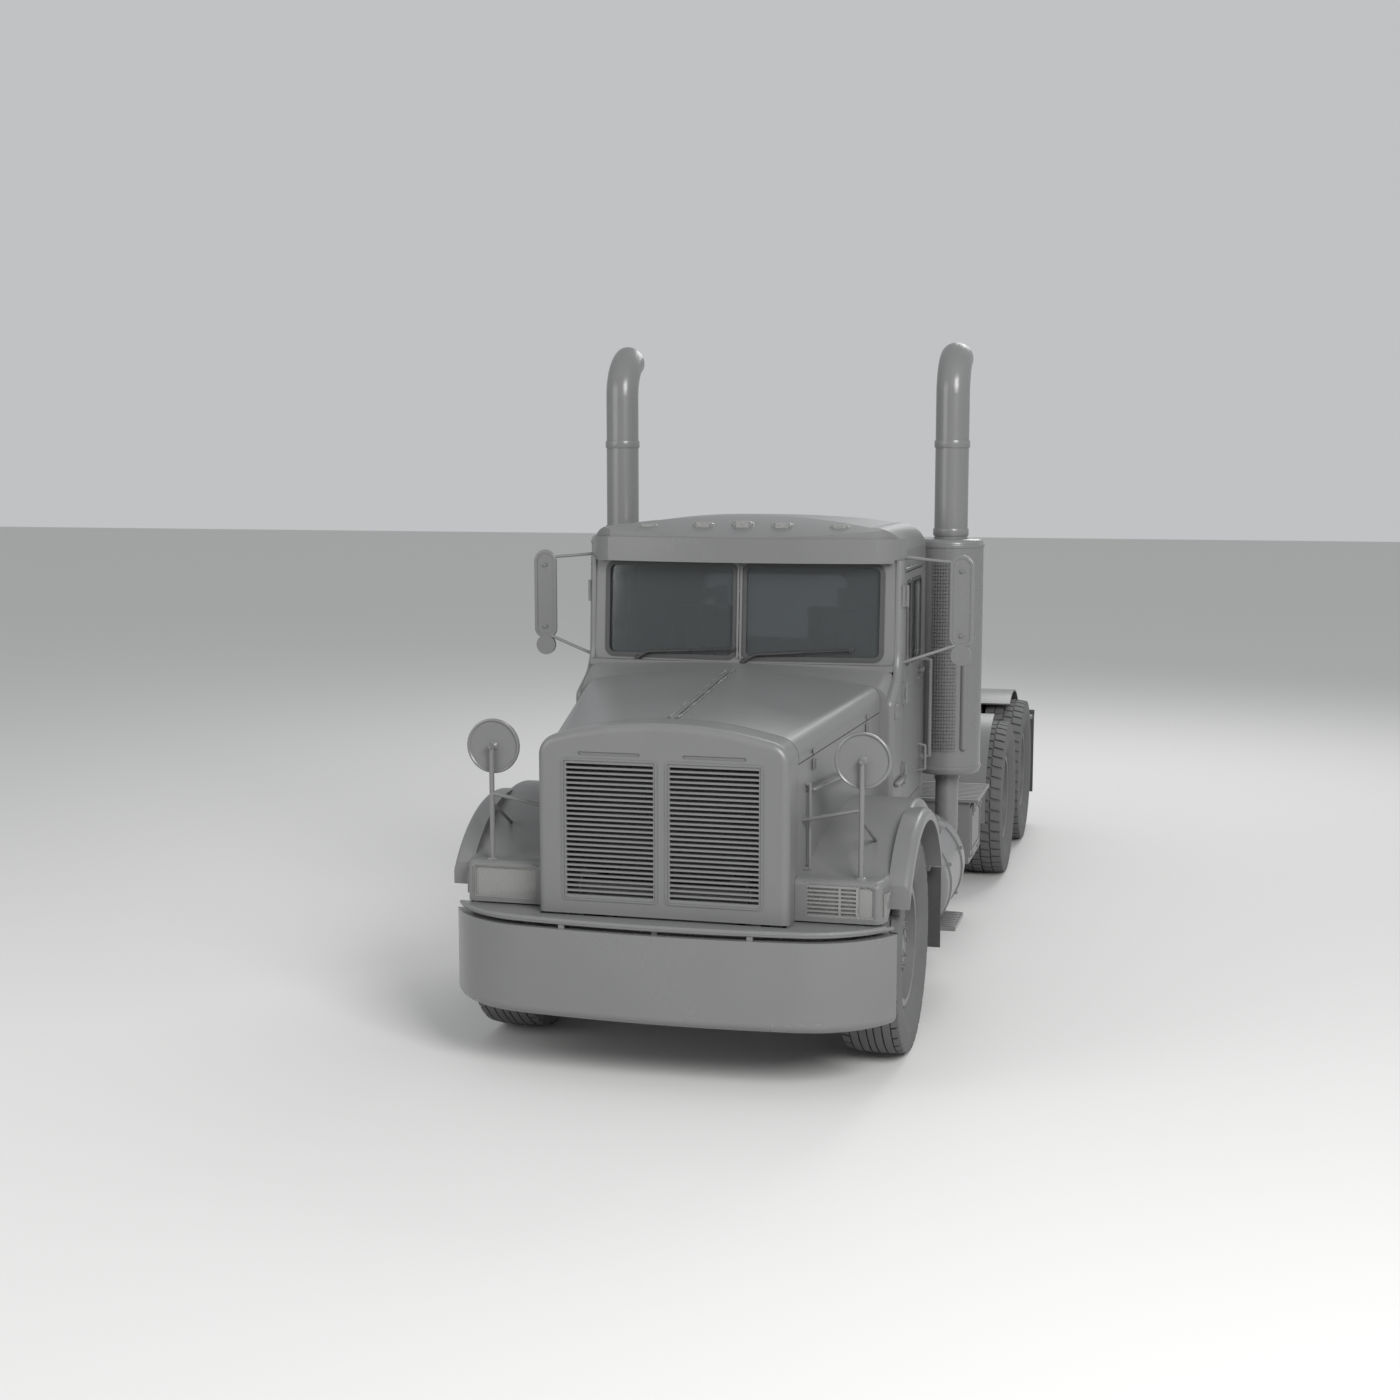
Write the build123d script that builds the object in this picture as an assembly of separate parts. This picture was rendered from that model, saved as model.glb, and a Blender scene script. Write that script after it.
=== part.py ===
"""Conventional semi truck tractor with a short cab, twin stacks and a tandem drive.

Millimetres. X forward, Y left, Z up, origin on the ground under the middle of the whole truck.
Longitudinal places are given from the front axle and turned into frame places by at().
"""

import os
from math import asin, cos, pi, radians, sin, sqrt, tan

from build123d import *

# Overall and wheels
front_overhang = 1000
wheelbase_first = 4594
tandem_spacing = 1320
rear_overhang = 886
tyre_radius = 567.5
tyre_width = 315
sidewall = ((2, 30), (120, 200), 14)
tread_width = 286
tread_crown = 24
bead_radius = 300
rim_width = 236
rim_wall = 16
rim_lip = 18
rim_lip_thick = 12
steer_track = 985
dual_outer = 1010
dual_inner = 670
hand_holes = 10
hand_hole = ((180, -24), (250, -48), (262, -36), (262, 36), (250, 48), (180, 24))
front_disc = (36, 58)
front_hub = (122, -25, 92)
drive_disc = (815, 865)
drive_hub = (126, 765, 1000)
hub_mouth = 84
hub_depth = 38
kingpin_y = 850
kingpin_radius = 25
spindle_radius = 45
drive_spindle_radius = 60

# Clearances
run_gap = 0.3
fit_gap = 0.3
seam_gap = 6
hood_gap = 12

# Frame
rail_outer = 432
rail_flange = 90
rail_web = 10
rail_height = 270
frame_top = 1040
rail_nose = 790
cross_half = 40
cross_low = 830
cross_high = 1000
cross_places = (740, -1720, -3000, -4000)
hook_hole = 6.75
hook_half_y = 22.25
hook_half_z = 42.85

# Bumper and deck
bumper_low = 330
bumper_high = 785
bumper_wall = 14
bumper_lip = 75
bumper_round = 45
bumper_bow = 45
bumper_front_half = 720
bumper_end = (650, 1150)
bracket_thick = 14
bumper_bracket = ((560, 1000), (780, 1000), (780, 795), (915, 795), (915, 772), (975, 772), (975, 480),
                  (800, 560), (560, 775))
deck_low = 806
deck_thick = 20
deck_inset = 6
deck_round = 9
deck_back = 664
deck_spacers = (-480, 0, 480)
spacer_x = 950
spacer_half = 15

# Hood and grille: half width, crown height, arch radius, corner radius and seam height of the hood's ends
hood_front = (645, 1808, 2200, 110, 1605)
hood_rear = (845, 1925, 4400, 75, 1715)
hood_skin = 18
hood_inner_y = 30
hood_low = 1180
hood_skirt = ((560, 1030), (440, 1085), (290, hood_low))
spine_half = 10
spine_rise = 6
spine_drop = 30
hood_pin_y = 23
hood_pin = 5
hood_pin_ends = (0.012, 0.988)
hood_knuckle = 9
hood_open_gap = 2
fixed_knuckles = ((0.01, 0.05), (0.48, 0.52), (0.95, 0.99))
moving_knuckles = ((0.22, 0.28), (0.72, 0.78))
knuckle_room = 0.003
shell_front = 832
shell_back = 620
shell_low = 836
shell_wall = 26
shell_round = 40
grille_low = 915
grille_high = 1614
grille_inner = 30
grille_outer = 506
grille_corner = 12
grille_bars = 26
grille_border = 12
bar_gap = 5
panel_thick = 22
panel_sunk = 2
trim_width = 9
trim_proud = 5
slot_low = 1640
slot_high = 1658
slot_inner = 110
slot_outer = 430
slot_deep = 8
core_front = 640
core_back = 540
core_half = 560
core_low = 880
core_high = 1640

# Fenders, lamps and fender mirrors; a bend is (radius, degrees to the left), a straight is (length, 0)
arch_radius = 660
flare_radius = 725
flare_inner_y = 1090
flare_y = 1200
flare_round = 35
flare_ends = (-700, 575)
flare_low = 870
fender_nose = 700
fender_top = 1045
fender_inner_y = 646
fender_skin = 16
fender_low = 836
fender_round = 34
fender_side = ((110, 0), (220, -32), (40, 0), (1500, 18), (800, 40), (300, 54), (100, 0), (200, 10))
fender_plan = ((394, 0), (40, 76), (138, 0), (600, 14), (1300, 0))
fender_taper = 14
lamp_low = 850
lamp_high = 1030
lamp_inner = 700
lamp_outer = 1052
lamp_corner = 30
lamp_face = 690
lamp_back = 625
lamp_rim = 14
lens_sunk = 10
rib_rows = 7
rib_columns = ((8, 163), (176, 250))
rib_first = 20
rib_pitch = 20.5
rib_slot = 12
rib_deep = 14
plain_lens_start = 262
side_lens = (10, 118, 118)
side_lens_at = (602.7, 1095.5, 925)
mirror_disc = 137
mirror_disc_thick = 26
mirror_disc_round = 16
mirror_disc_at = (604, 963, 1631)
mirror_post_x = 628
mirror_post = 13
mirror_brace = 10
mirror_brace_z = 1390
mirror_brace_end = (560, 640, 1310)
mirror_strut = 9
mirror_strut_z = 1340
mirror_strut_end = (250, 985, 1150)

# Cab
cab_front = -600
cab_rear = -1760
cab_half = 920
cab_wall = 40
cab_low = 1060
cab_top = 2530
cab_round = 30
pad_places = (-750, -1600)
pad_y = 387
pad_size = (120, 80)
cowl_low = 1760
cowl_side_high = 1737
cowl_back = -790
cowl_skin = 18
cowl_rear_arch = 20000
cowl_rear_corner = 40
shelf_back = -912
shelf_thick = 32
screen_low = 1945
screen_mid_x = -785
screen_side_x = -865
screen_lean = 40
screen_frame = 40
screen_edge = 74
screen_post = 26
screen_sill = 23
screen_head = 32
screen_corner = 45
pillar_foot = ((60, 63), (142, 0), (200, -60))
pillar_lean = 3
glass = 8
glass_sunk = 16
door_front = -950
door_rear = -1640
door_low = 1130
door_head = 68
door_thick = 45
door_corner = 40
door_rail = 66
door_window_drop = 57
belt = 1930
window_corner = 50
vent_width = 150
vent_post = 22
door_glass_in = 18
door_pin_out = 14
door_pin = 5
door_barrel = 11
hinge_leaf = 9
hinge_half = 60
hinge_mid = 25
hinge_step = 3
hinge_heights = (1320, 1780, 2330)
rear_window_half = 450
rear_window_low = 1990
rear_window_drop = 130
rear_window_corner = 60
roof_rise = 238
roof_turn = -1060
roof_corner = (-925, 30)
roof_brow = (-815, 150)
roof_nose = -720
brow_share = 0.7
roof_side_rise = 55
roof_shoulder = (52, 142)
roof_edge = (180, 182)
roof_front_rise = (70, 122)
roof_slope = ((-900, 192), -1180)
roof_back = ((300, 4), (80, 28), (22, 62), (0, 128))
visor_out = 14
visor_drop = 16
visor_rise = 120
visor_back = -960
roof_lamps = (-560, -230, 0, 230, 560)
roof_lamp_x = (-935, -850)
roof_lamp_half = 42
roof_lamp_round = 12
roof_lamp_rise = (130, 212)
roof_lamp_fall = 0.035

# Cab mirrors: a plate in a tube loop, on two arms; an arm is (X, Z at the cab), (Y in from the loop, Z there)
mirror_x = -1012
mirror_y = 1233
mirror_half = 60
mirror_low = 2050
mirror_high = 2490
mirror_tube = 10
mirror_round = 9.5
mirror_corner = 40
mirror_plate = 12
mirror_arm = 9
mirror_arms = (((-990, 2545), (60, 2518)), ((-920, 1943), (30, 2050)))
spot_radius = 58
spot_z = 1995
spot_thick = 22

# Cab inside
dash_gap = 30
dash_side = ((-640, 1400), (-640, 1745), (-800, 1838), (-850, 1800), (-900, 1600), (-860, 1400))
wheel_hub = (-1050, 430, 1750)
wheel_lean = 35
wheel_radius = 210
wheel_grip = 16
wheel_boss = (60, 50, -20)
wheel_spoke = (200, 34, 16)
column_radius = 32
column_length = 360
seat_inner = 180
seat_outer = 680
seat_foot = (-1640, -1260)
seat_side = ((-1260, 1400), (-1190, 1420), ((-1172, 1480), (-1190, 1545)), (-1240, 1570), (-1540, 1550),
             (-1600, 2230), ((-1645, 2266), (-1700, 2230)), (-1690, 1450), (-1640, 1400))

# Engine, axles and steering
engine_back = -540
engine_front = 480
engine_half = 330
engine_low = 690
engine_high = 1500
gearbox_back = -1240
gearbox_half = 180
gearbox_z = (600, 1030)
mount_x = (-430, -330)
mount_z = (900, 990)
axle_tube = 80
axle_tube_end = 745
axle_spindle_end = 945
diff_radius = 195
diff_ends = (-110, 120)
pinion_radius = 85
pinion_end = 300
pinion_rise = 25
shaft_radius = 55
shaft_start_z = 720
spring_gap = 4
leaf_half = 640
leaf_eye_z = 690
leaf_sag = 596
leaf_thick = 76
leaf_eye = 80
leaf_tip = (50, 30)
leaf_root = (15, 45)
beam_seat = 80
beam_deep = 130
beam_end = 110
beam_pad = 90
beam_toe = 95
beam_slope = 150
beam_saddle = (190, 260, 60)
axle_end = (850, 525, 610)
axle_mid = (620, 505, 596)
axle_half = 45
axle_web = 26
axle_pocket = (590, 528, 573)
boss_radius = 58
boss_half = 75
ear_gap = 3
ear_thick = 42
ear_half = 56
ear_inner = 50
knuckle_face = (914, 945)
spindle_end = 1020
arm_x = -210
arm_half = 26
arm_thick = 26
ball_pin = 13
tie_radius = 19
tie_eye = 32
tie_eye_half = 21
tie_gap = 2

# Behind the cab
stack_x = -1960
stack_y = 1042
muffler_radius = 200
muffler_low = 1177
muffler_high = 2611
muffler_round = 30
grip_radius = 23
grip_turn = 35
grip_low = 1350
grip_high = 2470
stand_top = 2300
stand_half = 35
stand_y = 352
stand_arms = (1410, 2250)
stand_arm_half = 30
stand_arm_end = 150
stack_radius = 101
stack_wall = 6
stack_bend_z = 3480
stack_bend = 230
stack_turn = 70
stack_mouth = 60
pipe_radius = 70
pipe_bend = 170
pipe_z = 670
pipe_rise = 80
pipe_inner_y = 265
tank_radius = 318
tank_y = 868
tank_z = 655
tank_front = -960
tank_rear = -1800
tank_round = 45
strap_inset = 170
strap_half = 30
strap_thick = 8
tank_bracket = (35, 200, 790, 880)
step_x = (-1400, -1020)
step_y = (1090, 1225)
step_z = (400, 425)
hanger_inset = 50
hanger_in = 10
hanger_size = (40, 20)
hanger_high = 560
box_x = (-3350, -2750)
box_z = (430, 845)
box_y = 1090
lid_over = 30
lid_out = 60
lid_thick = 20
deck_plate_x = (-3850, -2080)
deck_plate_half = 500
deck_plate_thick = 14
guard_radius = 648
guard_skin = 12
guard_y = (442, 1060)
guard_turns = ((-8, 80), (62, 150))
guard_feet = ((480, 560, 820, 960), (-60, 20, 900, 1212))
flap_thick = 12
flap_y = (530, 1165)
flap_z = (260, 960)
flap_back = 723
flap_bar = 22
flap_bar_drop = 20
front_flap_x = -722
front_flap_thick = 10
front_flap_y = (860, 1180)
front_flap_low = 380
tail_lamp_y = 280
tail_lamp = (150, 865, 965)

# Fifth wheel
fifth_from_middle = 104
fifth_pivot_z = 1130
fifth_top = 1240
fifth_plate = 40
fifth_radius = 460
fifth_tail = (560, 300)
fifth_shoulder = 400
fifth_pin = 26
fifth_base = 18
fifth_base_half = 320
ear_y = (340, 400)
ear_foot = 130
ear_round = 45
cheek_y = (290, 334)
cheek_half = 60
cheek_sink = 5
pin_proud = 10
kingpin_bore = 25.7
throat_deep = 180
throat_mouth = (600, 150)

overall_length = front_overhang + wheelbase_first + tandem_spacing + rear_overhang
front_axle = overall_length / 2 - front_overhang
axle_z = tyre_radius
first = -wheelbase_first
second = first - tandem_spacing
middle = (first + second) / 2
tail = second - rear_overhang
frame_low = frame_top - rail_height
rail_inner = rail_outer - rail_web
rail_lip = rail_outer - rail_flange
floor_top = cab_low + cab_wall
inner = cab_half - cab_wall
dash_half = inner - dash_gap
door_high = cab_top - door_head
roof_crown = cab_top + roof_rise
hood_front_x = shell_back - hood_gap
hood_rear_x = cab_front + hood_gap
fifth_x = middle + fifth_from_middle


def at(x):
    return front_axle + x


def outline(place, start, *steps):
    """Closed wire: a step is a point, or an arc given as (via, end)."""
    edges = []
    here = start
    for step in (*steps, start):
        if isinstance(step[0], tuple):
            edges.append(Edge.make_three_point_arc(place(*here), place(*step[0]), place(*step[1])))
            here = step[1]
        elif step != here:
            edges.append(Edge.make_line(place(*here), place(*step)))
            here = step
    return Wire(edges)


def bend_run(start, heading, *bends):
    """Tangent lines and arcs as outline steps, from a table of bends and straights."""
    steps = []
    here = start
    turn = radians(heading)
    for size, degrees in bends:
        if not degrees:
            here = (here[0] + size * cos(turn), here[1] + size * sin(turn))
            steps.append(here)
            continue
        reach = size if degrees > 0 else -size
        centre = (here[0] - reach * sin(turn), here[1] + reach * cos(turn))
        headings = [turn + radians(degrees) * share for share in (0.5, 1)]
        arc = [(centre[0] + reach * sin(a), centre[1] - reach * cos(a)) for a in headings]
        steps.append(tuple(arc))
        here = arc[1]
        turn = headings[1]
    return steps


def inset_bends(bends, inset, lead):
    """The same run moved to its left by inset, with its first straight made longer by lead."""
    moved = []
    for size, degrees in bends:
        shift = 0 if not degrees else -inset if degrees > 0 else inset
        moved.append((size + shift, degrees))
    moved[0] = (moved[0][0] + lead, 0)
    return moved


def slab(axis, low, high, start, *steps):
    """An outline across one axis, pushed from low to high along it."""
    places = {
        "X": lambda u, v: (at(low), u, v),
        "Y": lambda u, v: (at(u), low, v),
        "Z": lambda u, v: (at(u), v, low),
    }
    push = {"X": (high - low, 0, 0), "Y": (0, high - low, 0), "Z": (0, 0, high - low)}[axis]
    face = Face(outline(places[axis], start, *steps))
    if face.normal_at().dot(Vector(*push)) < 0:
        face = -face
    return Solid.extrude(face, Vector(*push))


def block(x0, x1, y0, y1, z0, z1):
    return Pos(at((x0 + x1) / 2), (y0 + y1) / 2, (z0 + z1) / 2) * Box(x1 - x0, y1 - y0, z1 - z0)


def rod(radius, start, end):
    a = Vector(at(start[0]), start[1], start[2])
    b = Vector(at(end[0]), end[1], end[2])
    return Solid.make_cylinder(radius, (b - a).length, Plane(origin=a, z_dir=b - a))


def ball(radius, x, y, z):
    return Pos(at(x), y, z) * Sphere(radius)


def ring(bore, outer, y0, y1):
    """A ring about a wheel's axle line, which is Y."""
    body = Solid.make_cylinder(outer, y1 - y0, Plane(origin=(0, y0, 0), z_dir=(0, 1, 0)))
    if bore:
        body = body - Solid.make_cylinder(bore, y1 - y0, Plane(origin=(0, y0, 0), z_dir=(0, 1, 0)))
    return body


def window(axis, low, high, u0, u1, v0, v1, corner):
    """A box with rounded corners, for window openings and panes."""
    k = corner * (1 - sqrt(0.5))
    return slab(
        axis, low, high, (u0 + corner, v0), (u1 - corner, v0),
        ((u1 - k, v0 + k), (u1, v0 + corner)), (u1, v1 - corner),
        ((u1 - k, v1 - k), (u1 - corner, v1)), (u0 + corner, v1),
        ((u0 + k, v1 - k), (u0, v1 - corner)), (u0, v0 + corner),
        ((u0 + k, v0 + k), (u0 + corner, v0)),
    )


def joined(*pieces):
    whole = pieces[0]
    for piece in pieces[1:]:
        whole = whole + piece
    return whole


def flip(piece):
    return mirror(piece, about=Plane.XZ)


def largest(piece):
    return max(piece.solids(), key=lambda solid: solid.volume)


def write(name, *pieces):
    solids = [solid for piece in pieces for solid in piece.solids()]
    export_step(solids[0] if len(solids) == 1 else Compound(solids), f"parts/{name}.step")


os.makedirs("parts", exist_ok=True)

# Frame
rail = slab(
    "X", tail, rail_nose, (rail_outer, frame_low), (rail_outer, frame_top), (rail_lip, frame_top),
    (rail_lip, frame_top - rail_web), (rail_inner, frame_top - rail_web),
    (rail_inner, frame_low + rail_web), (rail_lip, frame_low + rail_web), (rail_lip, frame_low),
)
write("frame_rails", rail, flip(rail))
tail_cross = tail + 1.5 * cross_half
crosses = []
for x in (*cross_places, middle, tail_cross):
    crosses.append(block(x - cross_half, x + cross_half, -rail_inner, rail_inner, cross_low, cross_high))
hook_z = (cross_low + cross_high) / 2
for y in (-hook_half_y, hook_half_y):
    for z in (hook_z - hook_half_z, hook_z + hook_half_z):
        crosses[-1] = crosses[-1] - rod(hook_hole, (tail, y, z), (tail_cross + cross_half, y, z))
write("frame_crossmembers", *crosses)

# Bumper and its deck


def bumper_plan(inset, low, high, back):
    """Bowed front with tangent corner arcs, moved in by inset."""
    bow_side = front_overhang - bumper_bow
    bow_radius = (bumper_front_half**2 + bumper_bow**2) / (2 * bumper_bow)
    lean = asin(bumper_front_half / bow_radius)
    run = (bumper_end[0] - bow_side, bumper_end[1] - bumper_front_half)
    across = run[0] * cos(lean) + run[1] * sin(lean)
    corner_radius = (run[0] ** 2 + run[1] ** 2) / (2 * abs(across))
    centre = (bow_side - corner_radius * cos(lean), bumper_front_half - corner_radius * sin(lean))
    end_turn = asin((bumper_end[1] - centre[1]) / corner_radius)
    small = corner_radius - inset
    big = bow_radius - inset
    half_way = (lean + end_turn) / 2
    side = (front_overhang - bow_radius + big * cos(lean), big * sin(lean))
    via = (centre[0] + small * cos(half_way), centre[1] + small * sin(half_way))
    end = (centre[0] + small * cos(end_turn), centre[1] + small * sin(end_turn))
    return slab(
        "Z", low, high, (back, end[1]), end, (via, side),
        ((front_overhang - inset, 0), (side[0], -side[1])), ((via[0], -via[1]), (end[0], -end[1])),
        (back, -end[1]),
    )


bumper_back = bumper_end[0] - bumper_round
bumper = bumper_plan(0, bumper_low, bumper_high, bumper_end[0] - 1)
bow_edges = [e for e in bumper.edges() if e.center().X > at(bumper_end[0]) + 2]
bumper = bumper.fillet(bumper_round, [e for e in bow_edges if abs(e.center().Z - bumper_low) < 1])
bumper = bumper - bumper_plan(bumper_wall, bumper_low + bumper_wall, bumper_high - bumper_wall, bumper_back)
bumper = bumper - bumper_plan(bumper_lip, bumper_low - 1, bumper_high + 1, bumper_back)
bracket = slab("Y", rail_outer, rail_outer + bracket_thick, *bumper_bracket)
write("front_bumper", joined(bumper, bracket, flip(bracket)))

deck_high = deck_low + deck_thick
deck = bumper_plan(deck_inset, deck_low, deck_high, bumper_back)
bow_edges = [e for e in deck.edges() if e.center().X > at(bumper_end[0]) + 2]
deck = deck.fillet(deck_round, [e for e in bow_edges if e.length > bumper_lip])
shell_room = (shell_front - panel_sunk, hood_front[0] - trim_proud)
for front, half in ((deck_back, bumper_end[1]), shell_room):
    deck = deck - block(bumper_back - 1, front, -half, half, deck_low - 1, deck_high + 1)
for y in deck_spacers:
    deck = deck + block(spacer_x - spacer_half, spacer_x + spacer_half, y - spacer_half, y + spacer_half,
                        bumper_high, deck_low)
write("bumper_deck", deck)

# Hood with its hinges


def hood_run(shape, inset, start_y):
    """Points of one side of the hood outline from near the middle down to the seam."""
    half, crown, arch, corner, seam = shape
    lean = asin((half - corner) / (arch - corner))
    big = arch - inset
    small = corner - inset
    low = crown - arch
    turn = (lean + pi / 2) / 2
    start = asin(start_y / big)
    mid = (lean + start) / 2
    centre = (half - corner, low + (arch - corner) * cos(lean))
    return (
        (start_y, low + big * cos(start)),
        (big * sin(mid), low + big * cos(mid)),
        (big * sin(lean), low + big * cos(lean)),
        (centre[0] + small * sin(turn), centre[1] + small * cos(turn)),
        (centre[0] + small, centre[1]),
        (half - inset, seam),
    )


def hood_wire(x, shape):
    out = hood_run(shape, 0, hood_inner_y)
    inn = hood_run(shape, hood_skin, hood_inner_y)
    steps = ((out[1], out[2]), (out[3], out[4]), out[5])
    back = (inn[5], inn[4], (inn[3], inn[2]), (inn[1], inn[0]))
    return outline(lambda u, v: (at(x), u, v), out[0], *steps, *back)


def along_hood(radius, y, start, end):
    """A bar on the hood's hinge line, between two shares of its length."""
    ends = []
    for share in (start, end):
        x = hood_front_x + share * (hood_rear_x - hood_front_x)
        ends.append((x, y, hood_front[1] + share * (hood_rear[1] - hood_front[1])))
    return rod(radius, *ends)


hood = Solid.make_loft([hood_wire(hood_front_x, hood_front), hood_wire(hood_rear_x, hood_rear)], True)
for start, end in moving_knuckles:
    hood = hood + along_hood(hood_knuckle, hood_pin_y, start, end)
notch = hood_knuckle + hood_open_gap
for start, end in fixed_knuckles:
    hood = hood - along_hood(notch, hood_pin_y, start - knuckle_room, end + knuckle_room)
hood = hood - along_hood(hood_pin + run_gap, hood_pin_y, 0, 1)
write("hood_left", hood)
write("hood_right", flip(hood))


def side_wire(x, shape):
    low = hood_skirt[0][1]
    half = shape[0]
    seam = shape[4] - seam_gap
    corners = ((half, seam), (half - hood_skin, seam), (half - hood_skin, low))
    return outline(lambda u, v: (at(x), u, v), (half, low), *corners)


def spine_wire(x, shape):
    low = shape[1] - spine_drop
    high = shape[1] + spine_rise
    corners = ((spine_half, low), (spine_half, high), (-spine_half, high))
    return outline(lambda u, v: (at(x), u, v), (-spine_half, low), *corners)


hood_side = Solid.make_loft([side_wire(shell_back, hood_front), side_wire(cab_front, hood_rear)], True)
skirt_low = hood_skirt[0][1] - 1
hood_side = hood_side - slab("Y", 0, cab_half, (cab_front - 1, skirt_low), (hood_skirt[0][0], skirt_low),
                             *hood_skirt, (cab_front - 1, hood_low))
spine = Solid.make_loft([spine_wire(shell_back, hood_front), spine_wire(cab_front, hood_rear)], True)
for y in (-hood_pin_y, hood_pin_y):
    spine = spine + along_hood(hood_pin, y, *hood_pin_ends)
    for start, end in fixed_knuckles:
        spine = spine + along_hood(hood_knuckle, y, start, end) + along_hood(hood_pin, y / 2, start, end)
write("hood_fixed_panels", hood_side, flip(hood_side), spine)

# Grille shell, bars and radiator


def arch_steps(shape, inset, low):
    """Outline of a whole arch over a flat base."""
    p = hood_run(shape, inset, 0)
    q = [(-y, z) for y, z in p]
    return ((-p[4][0], low), (p[4][0], low), p[4], (p[3], p[2]), (p[0], q[2]), (q[3], q[4]))


shell = slab("X", shell_back, shell_front, *arch_steps(hood_front, 0, shell_low))
front_edges = [e for e in shell.edges() if abs(e.center().X - at(shell_front)) < 1]
shell = shell.fillet(shell_round, [e for e in front_edges if e.center().Z > shell_low + 5])
hollow = arch_steps(hood_front, shell_wall, shell_low - 1)
shell = shell - slab("X", shell_back - 1, shell_front - shell_wall, *hollow)
bar_pitch = (grille_high - grille_low - 2 * grille_border) / grille_bars
panels = []
for side in (1, -1):
    y0, y1 = sorted((side * grille_inner, side * grille_outer))
    s0, s1 = sorted((side * slot_inner, side * slot_outer))
    shell = shell + window("X", shell_front - trim_proud, shell_front + trim_proud, y0 - trim_width,
                           y1 + trim_width, grille_low - trim_width, grille_high + trim_width,
                           grille_corner + trim_width)
    shell = shell - window("X", shell_front - 2 * shell_wall, shell_front + shell_wall, y0, y1, grille_low,
                           grille_high, grille_corner)
    shell = shell - window("X", shell_front - slot_deep, shell_front + 1, s0, s1, slot_low, slot_high,
                           slot_deep)
    panel = window("X", shell_front - panel_sunk - panel_thick, shell_front - panel_sunk, y0 + fit_gap,
                   y1 - fit_gap, grille_low + fit_gap, grille_high - fit_gap, grille_corner - fit_gap)
    slots = []
    for n in range(grille_bars):
        low = grille_low + grille_border + n * bar_pitch
        slots.append(block(shell_front - 2 * panel_thick, shell_front, y0 + grille_border, y1 - grille_border,
                           low + bar_gap, low + bar_pitch - bar_gap))
    panels.append(panel - slots)
write("grille_shell", shell)
write("grille_bars", *panels)
core = block(core_back, core_front, -core_half, core_half, frame_top, core_high)
core_foot = block(core_back, core_front, -engine_half, engine_half, core_low, frame_top + 1)
write("radiator", joined(core, core_foot))

# Fenders


def fender_body(inset, inner_y, corner):
    """Fender block from its side view and plan, moved in by inset, with its outer top edge rounded."""
    nose = fender_nose - inset
    top = fender_top - inset
    low = fender_low - inset
    side_run = bend_run((nose, top), 180, *inset_bends(fender_side, inset, -inset))
    profile = slab("Y", inner_y, flare_y, (nose, low), (nose, top), *side_run, (side_run[-1][1][0], low))
    plan_run = bend_run((nose, inner_y), 90, *inset_bends(fender_plan, inset, fender_inner_y - inner_y))
    plan = slab("Z", low - 1, engine_high, (nose, inner_y), *plan_run, (plan_run[-1][0], inner_y))
    body = (profile & plan).solids()[0]
    rim = [e for e in body.edges() if e.center().Z > low + lamp_corner and abs(e.tangent_at(0.5).Z) < 0.95]
    rim = [e for e in rim if e.center().Y > lamp_outer - lamp_corner]
    rim += [e for e in body.edges() if abs(e.center().X - at(nose)) < 1 and abs(e.center().Z - top) < 1]
    return body.fillet(corner, rim)


def wheel_bar(radius, y0, y1):
    return Solid.make_cylinder(radius, y1 - y0, Plane(origin=(at(0), y0, axle_z), z_dir=(0, 1, 0)))


hollow = fender_body(fender_skin, fender_inner_y - lamp_corner, fender_round - fender_skin)
fender = fender_body(0, fender_inner_y, fender_round) - hollow
fender = fender - wheel_bar(arch_radius, fender_inner_y - 1, flare_y + 1)
flare = wheel_bar(flare_radius, flare_inner_y, flare_y)
flare = flare - wheel_bar(arch_radius, flare_inner_y - 1, flare_y + 1)
flare = flare & block(*flare_ends, flare_inner_y - 1, flare_y + 1, flare_low, axle_z + flare_radius + 1)
lip = [e for e in flare.edges() if abs(e.center().Y - flare_y) < 1 and e.length > flare_radius]
flare = flare.fillet(flare_round, [e for e in lip if e.radius > flare_radius - 1])
fender = joined(fender, flare)
front_y = hood_front[0] + fit_gap
rear_y = hood_rear[0] + fit_gap
hood_room = slab("Z", frame_top - hood_gap, engine_high, (shell_front, 0), (shell_front, front_y),
                 (shell_back, front_y), (cab_front, rear_y), (cab_rear, rear_y), (cab_rear, 0))
cab_room = block(cab_rear, cab_front + fit_gap, 0, cab_half + fit_gap, frame_top, engine_high)
fender = fender - hood_room - cab_room
fender = fender - window("X", lamp_back, fender_nose + 1, lamp_inner, lamp_outer, lamp_low, lamp_high,
                         lamp_corner)
fender = largest(fender)
write("front_fenders", fender, flip(fender))

# Lamps in the fenders
lamp = window("X", lamp_back, lamp_face, lamp_inner + fit_gap, lamp_outer - fit_gap, lamp_low + fit_gap,
              lamp_high - fit_gap, lamp_corner - fit_gap)


def sunk_lens(start):
    return window("X", lamp_face - lens_sunk, lamp_face + 1, lamp_inner + start, lamp_outer - lamp_rim,
                  lamp_low + lamp_rim, lamp_high - lamp_rim, lamp_corner - lamp_rim)


slots = []
for n in range(rib_rows):
    low = lamp_low + rib_first + n * rib_pitch
    for start, end in rib_columns:
        slots.append(block(lamp_face - rib_deep, lamp_face + 1, lamp_inner + start, lamp_inner + end,
                           low, low + rib_slot))
write("headlamps", lamp - sunk_lens(plain_lens_start) - slots, flip(lamp - sunk_lens(lamp_rim)))

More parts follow.
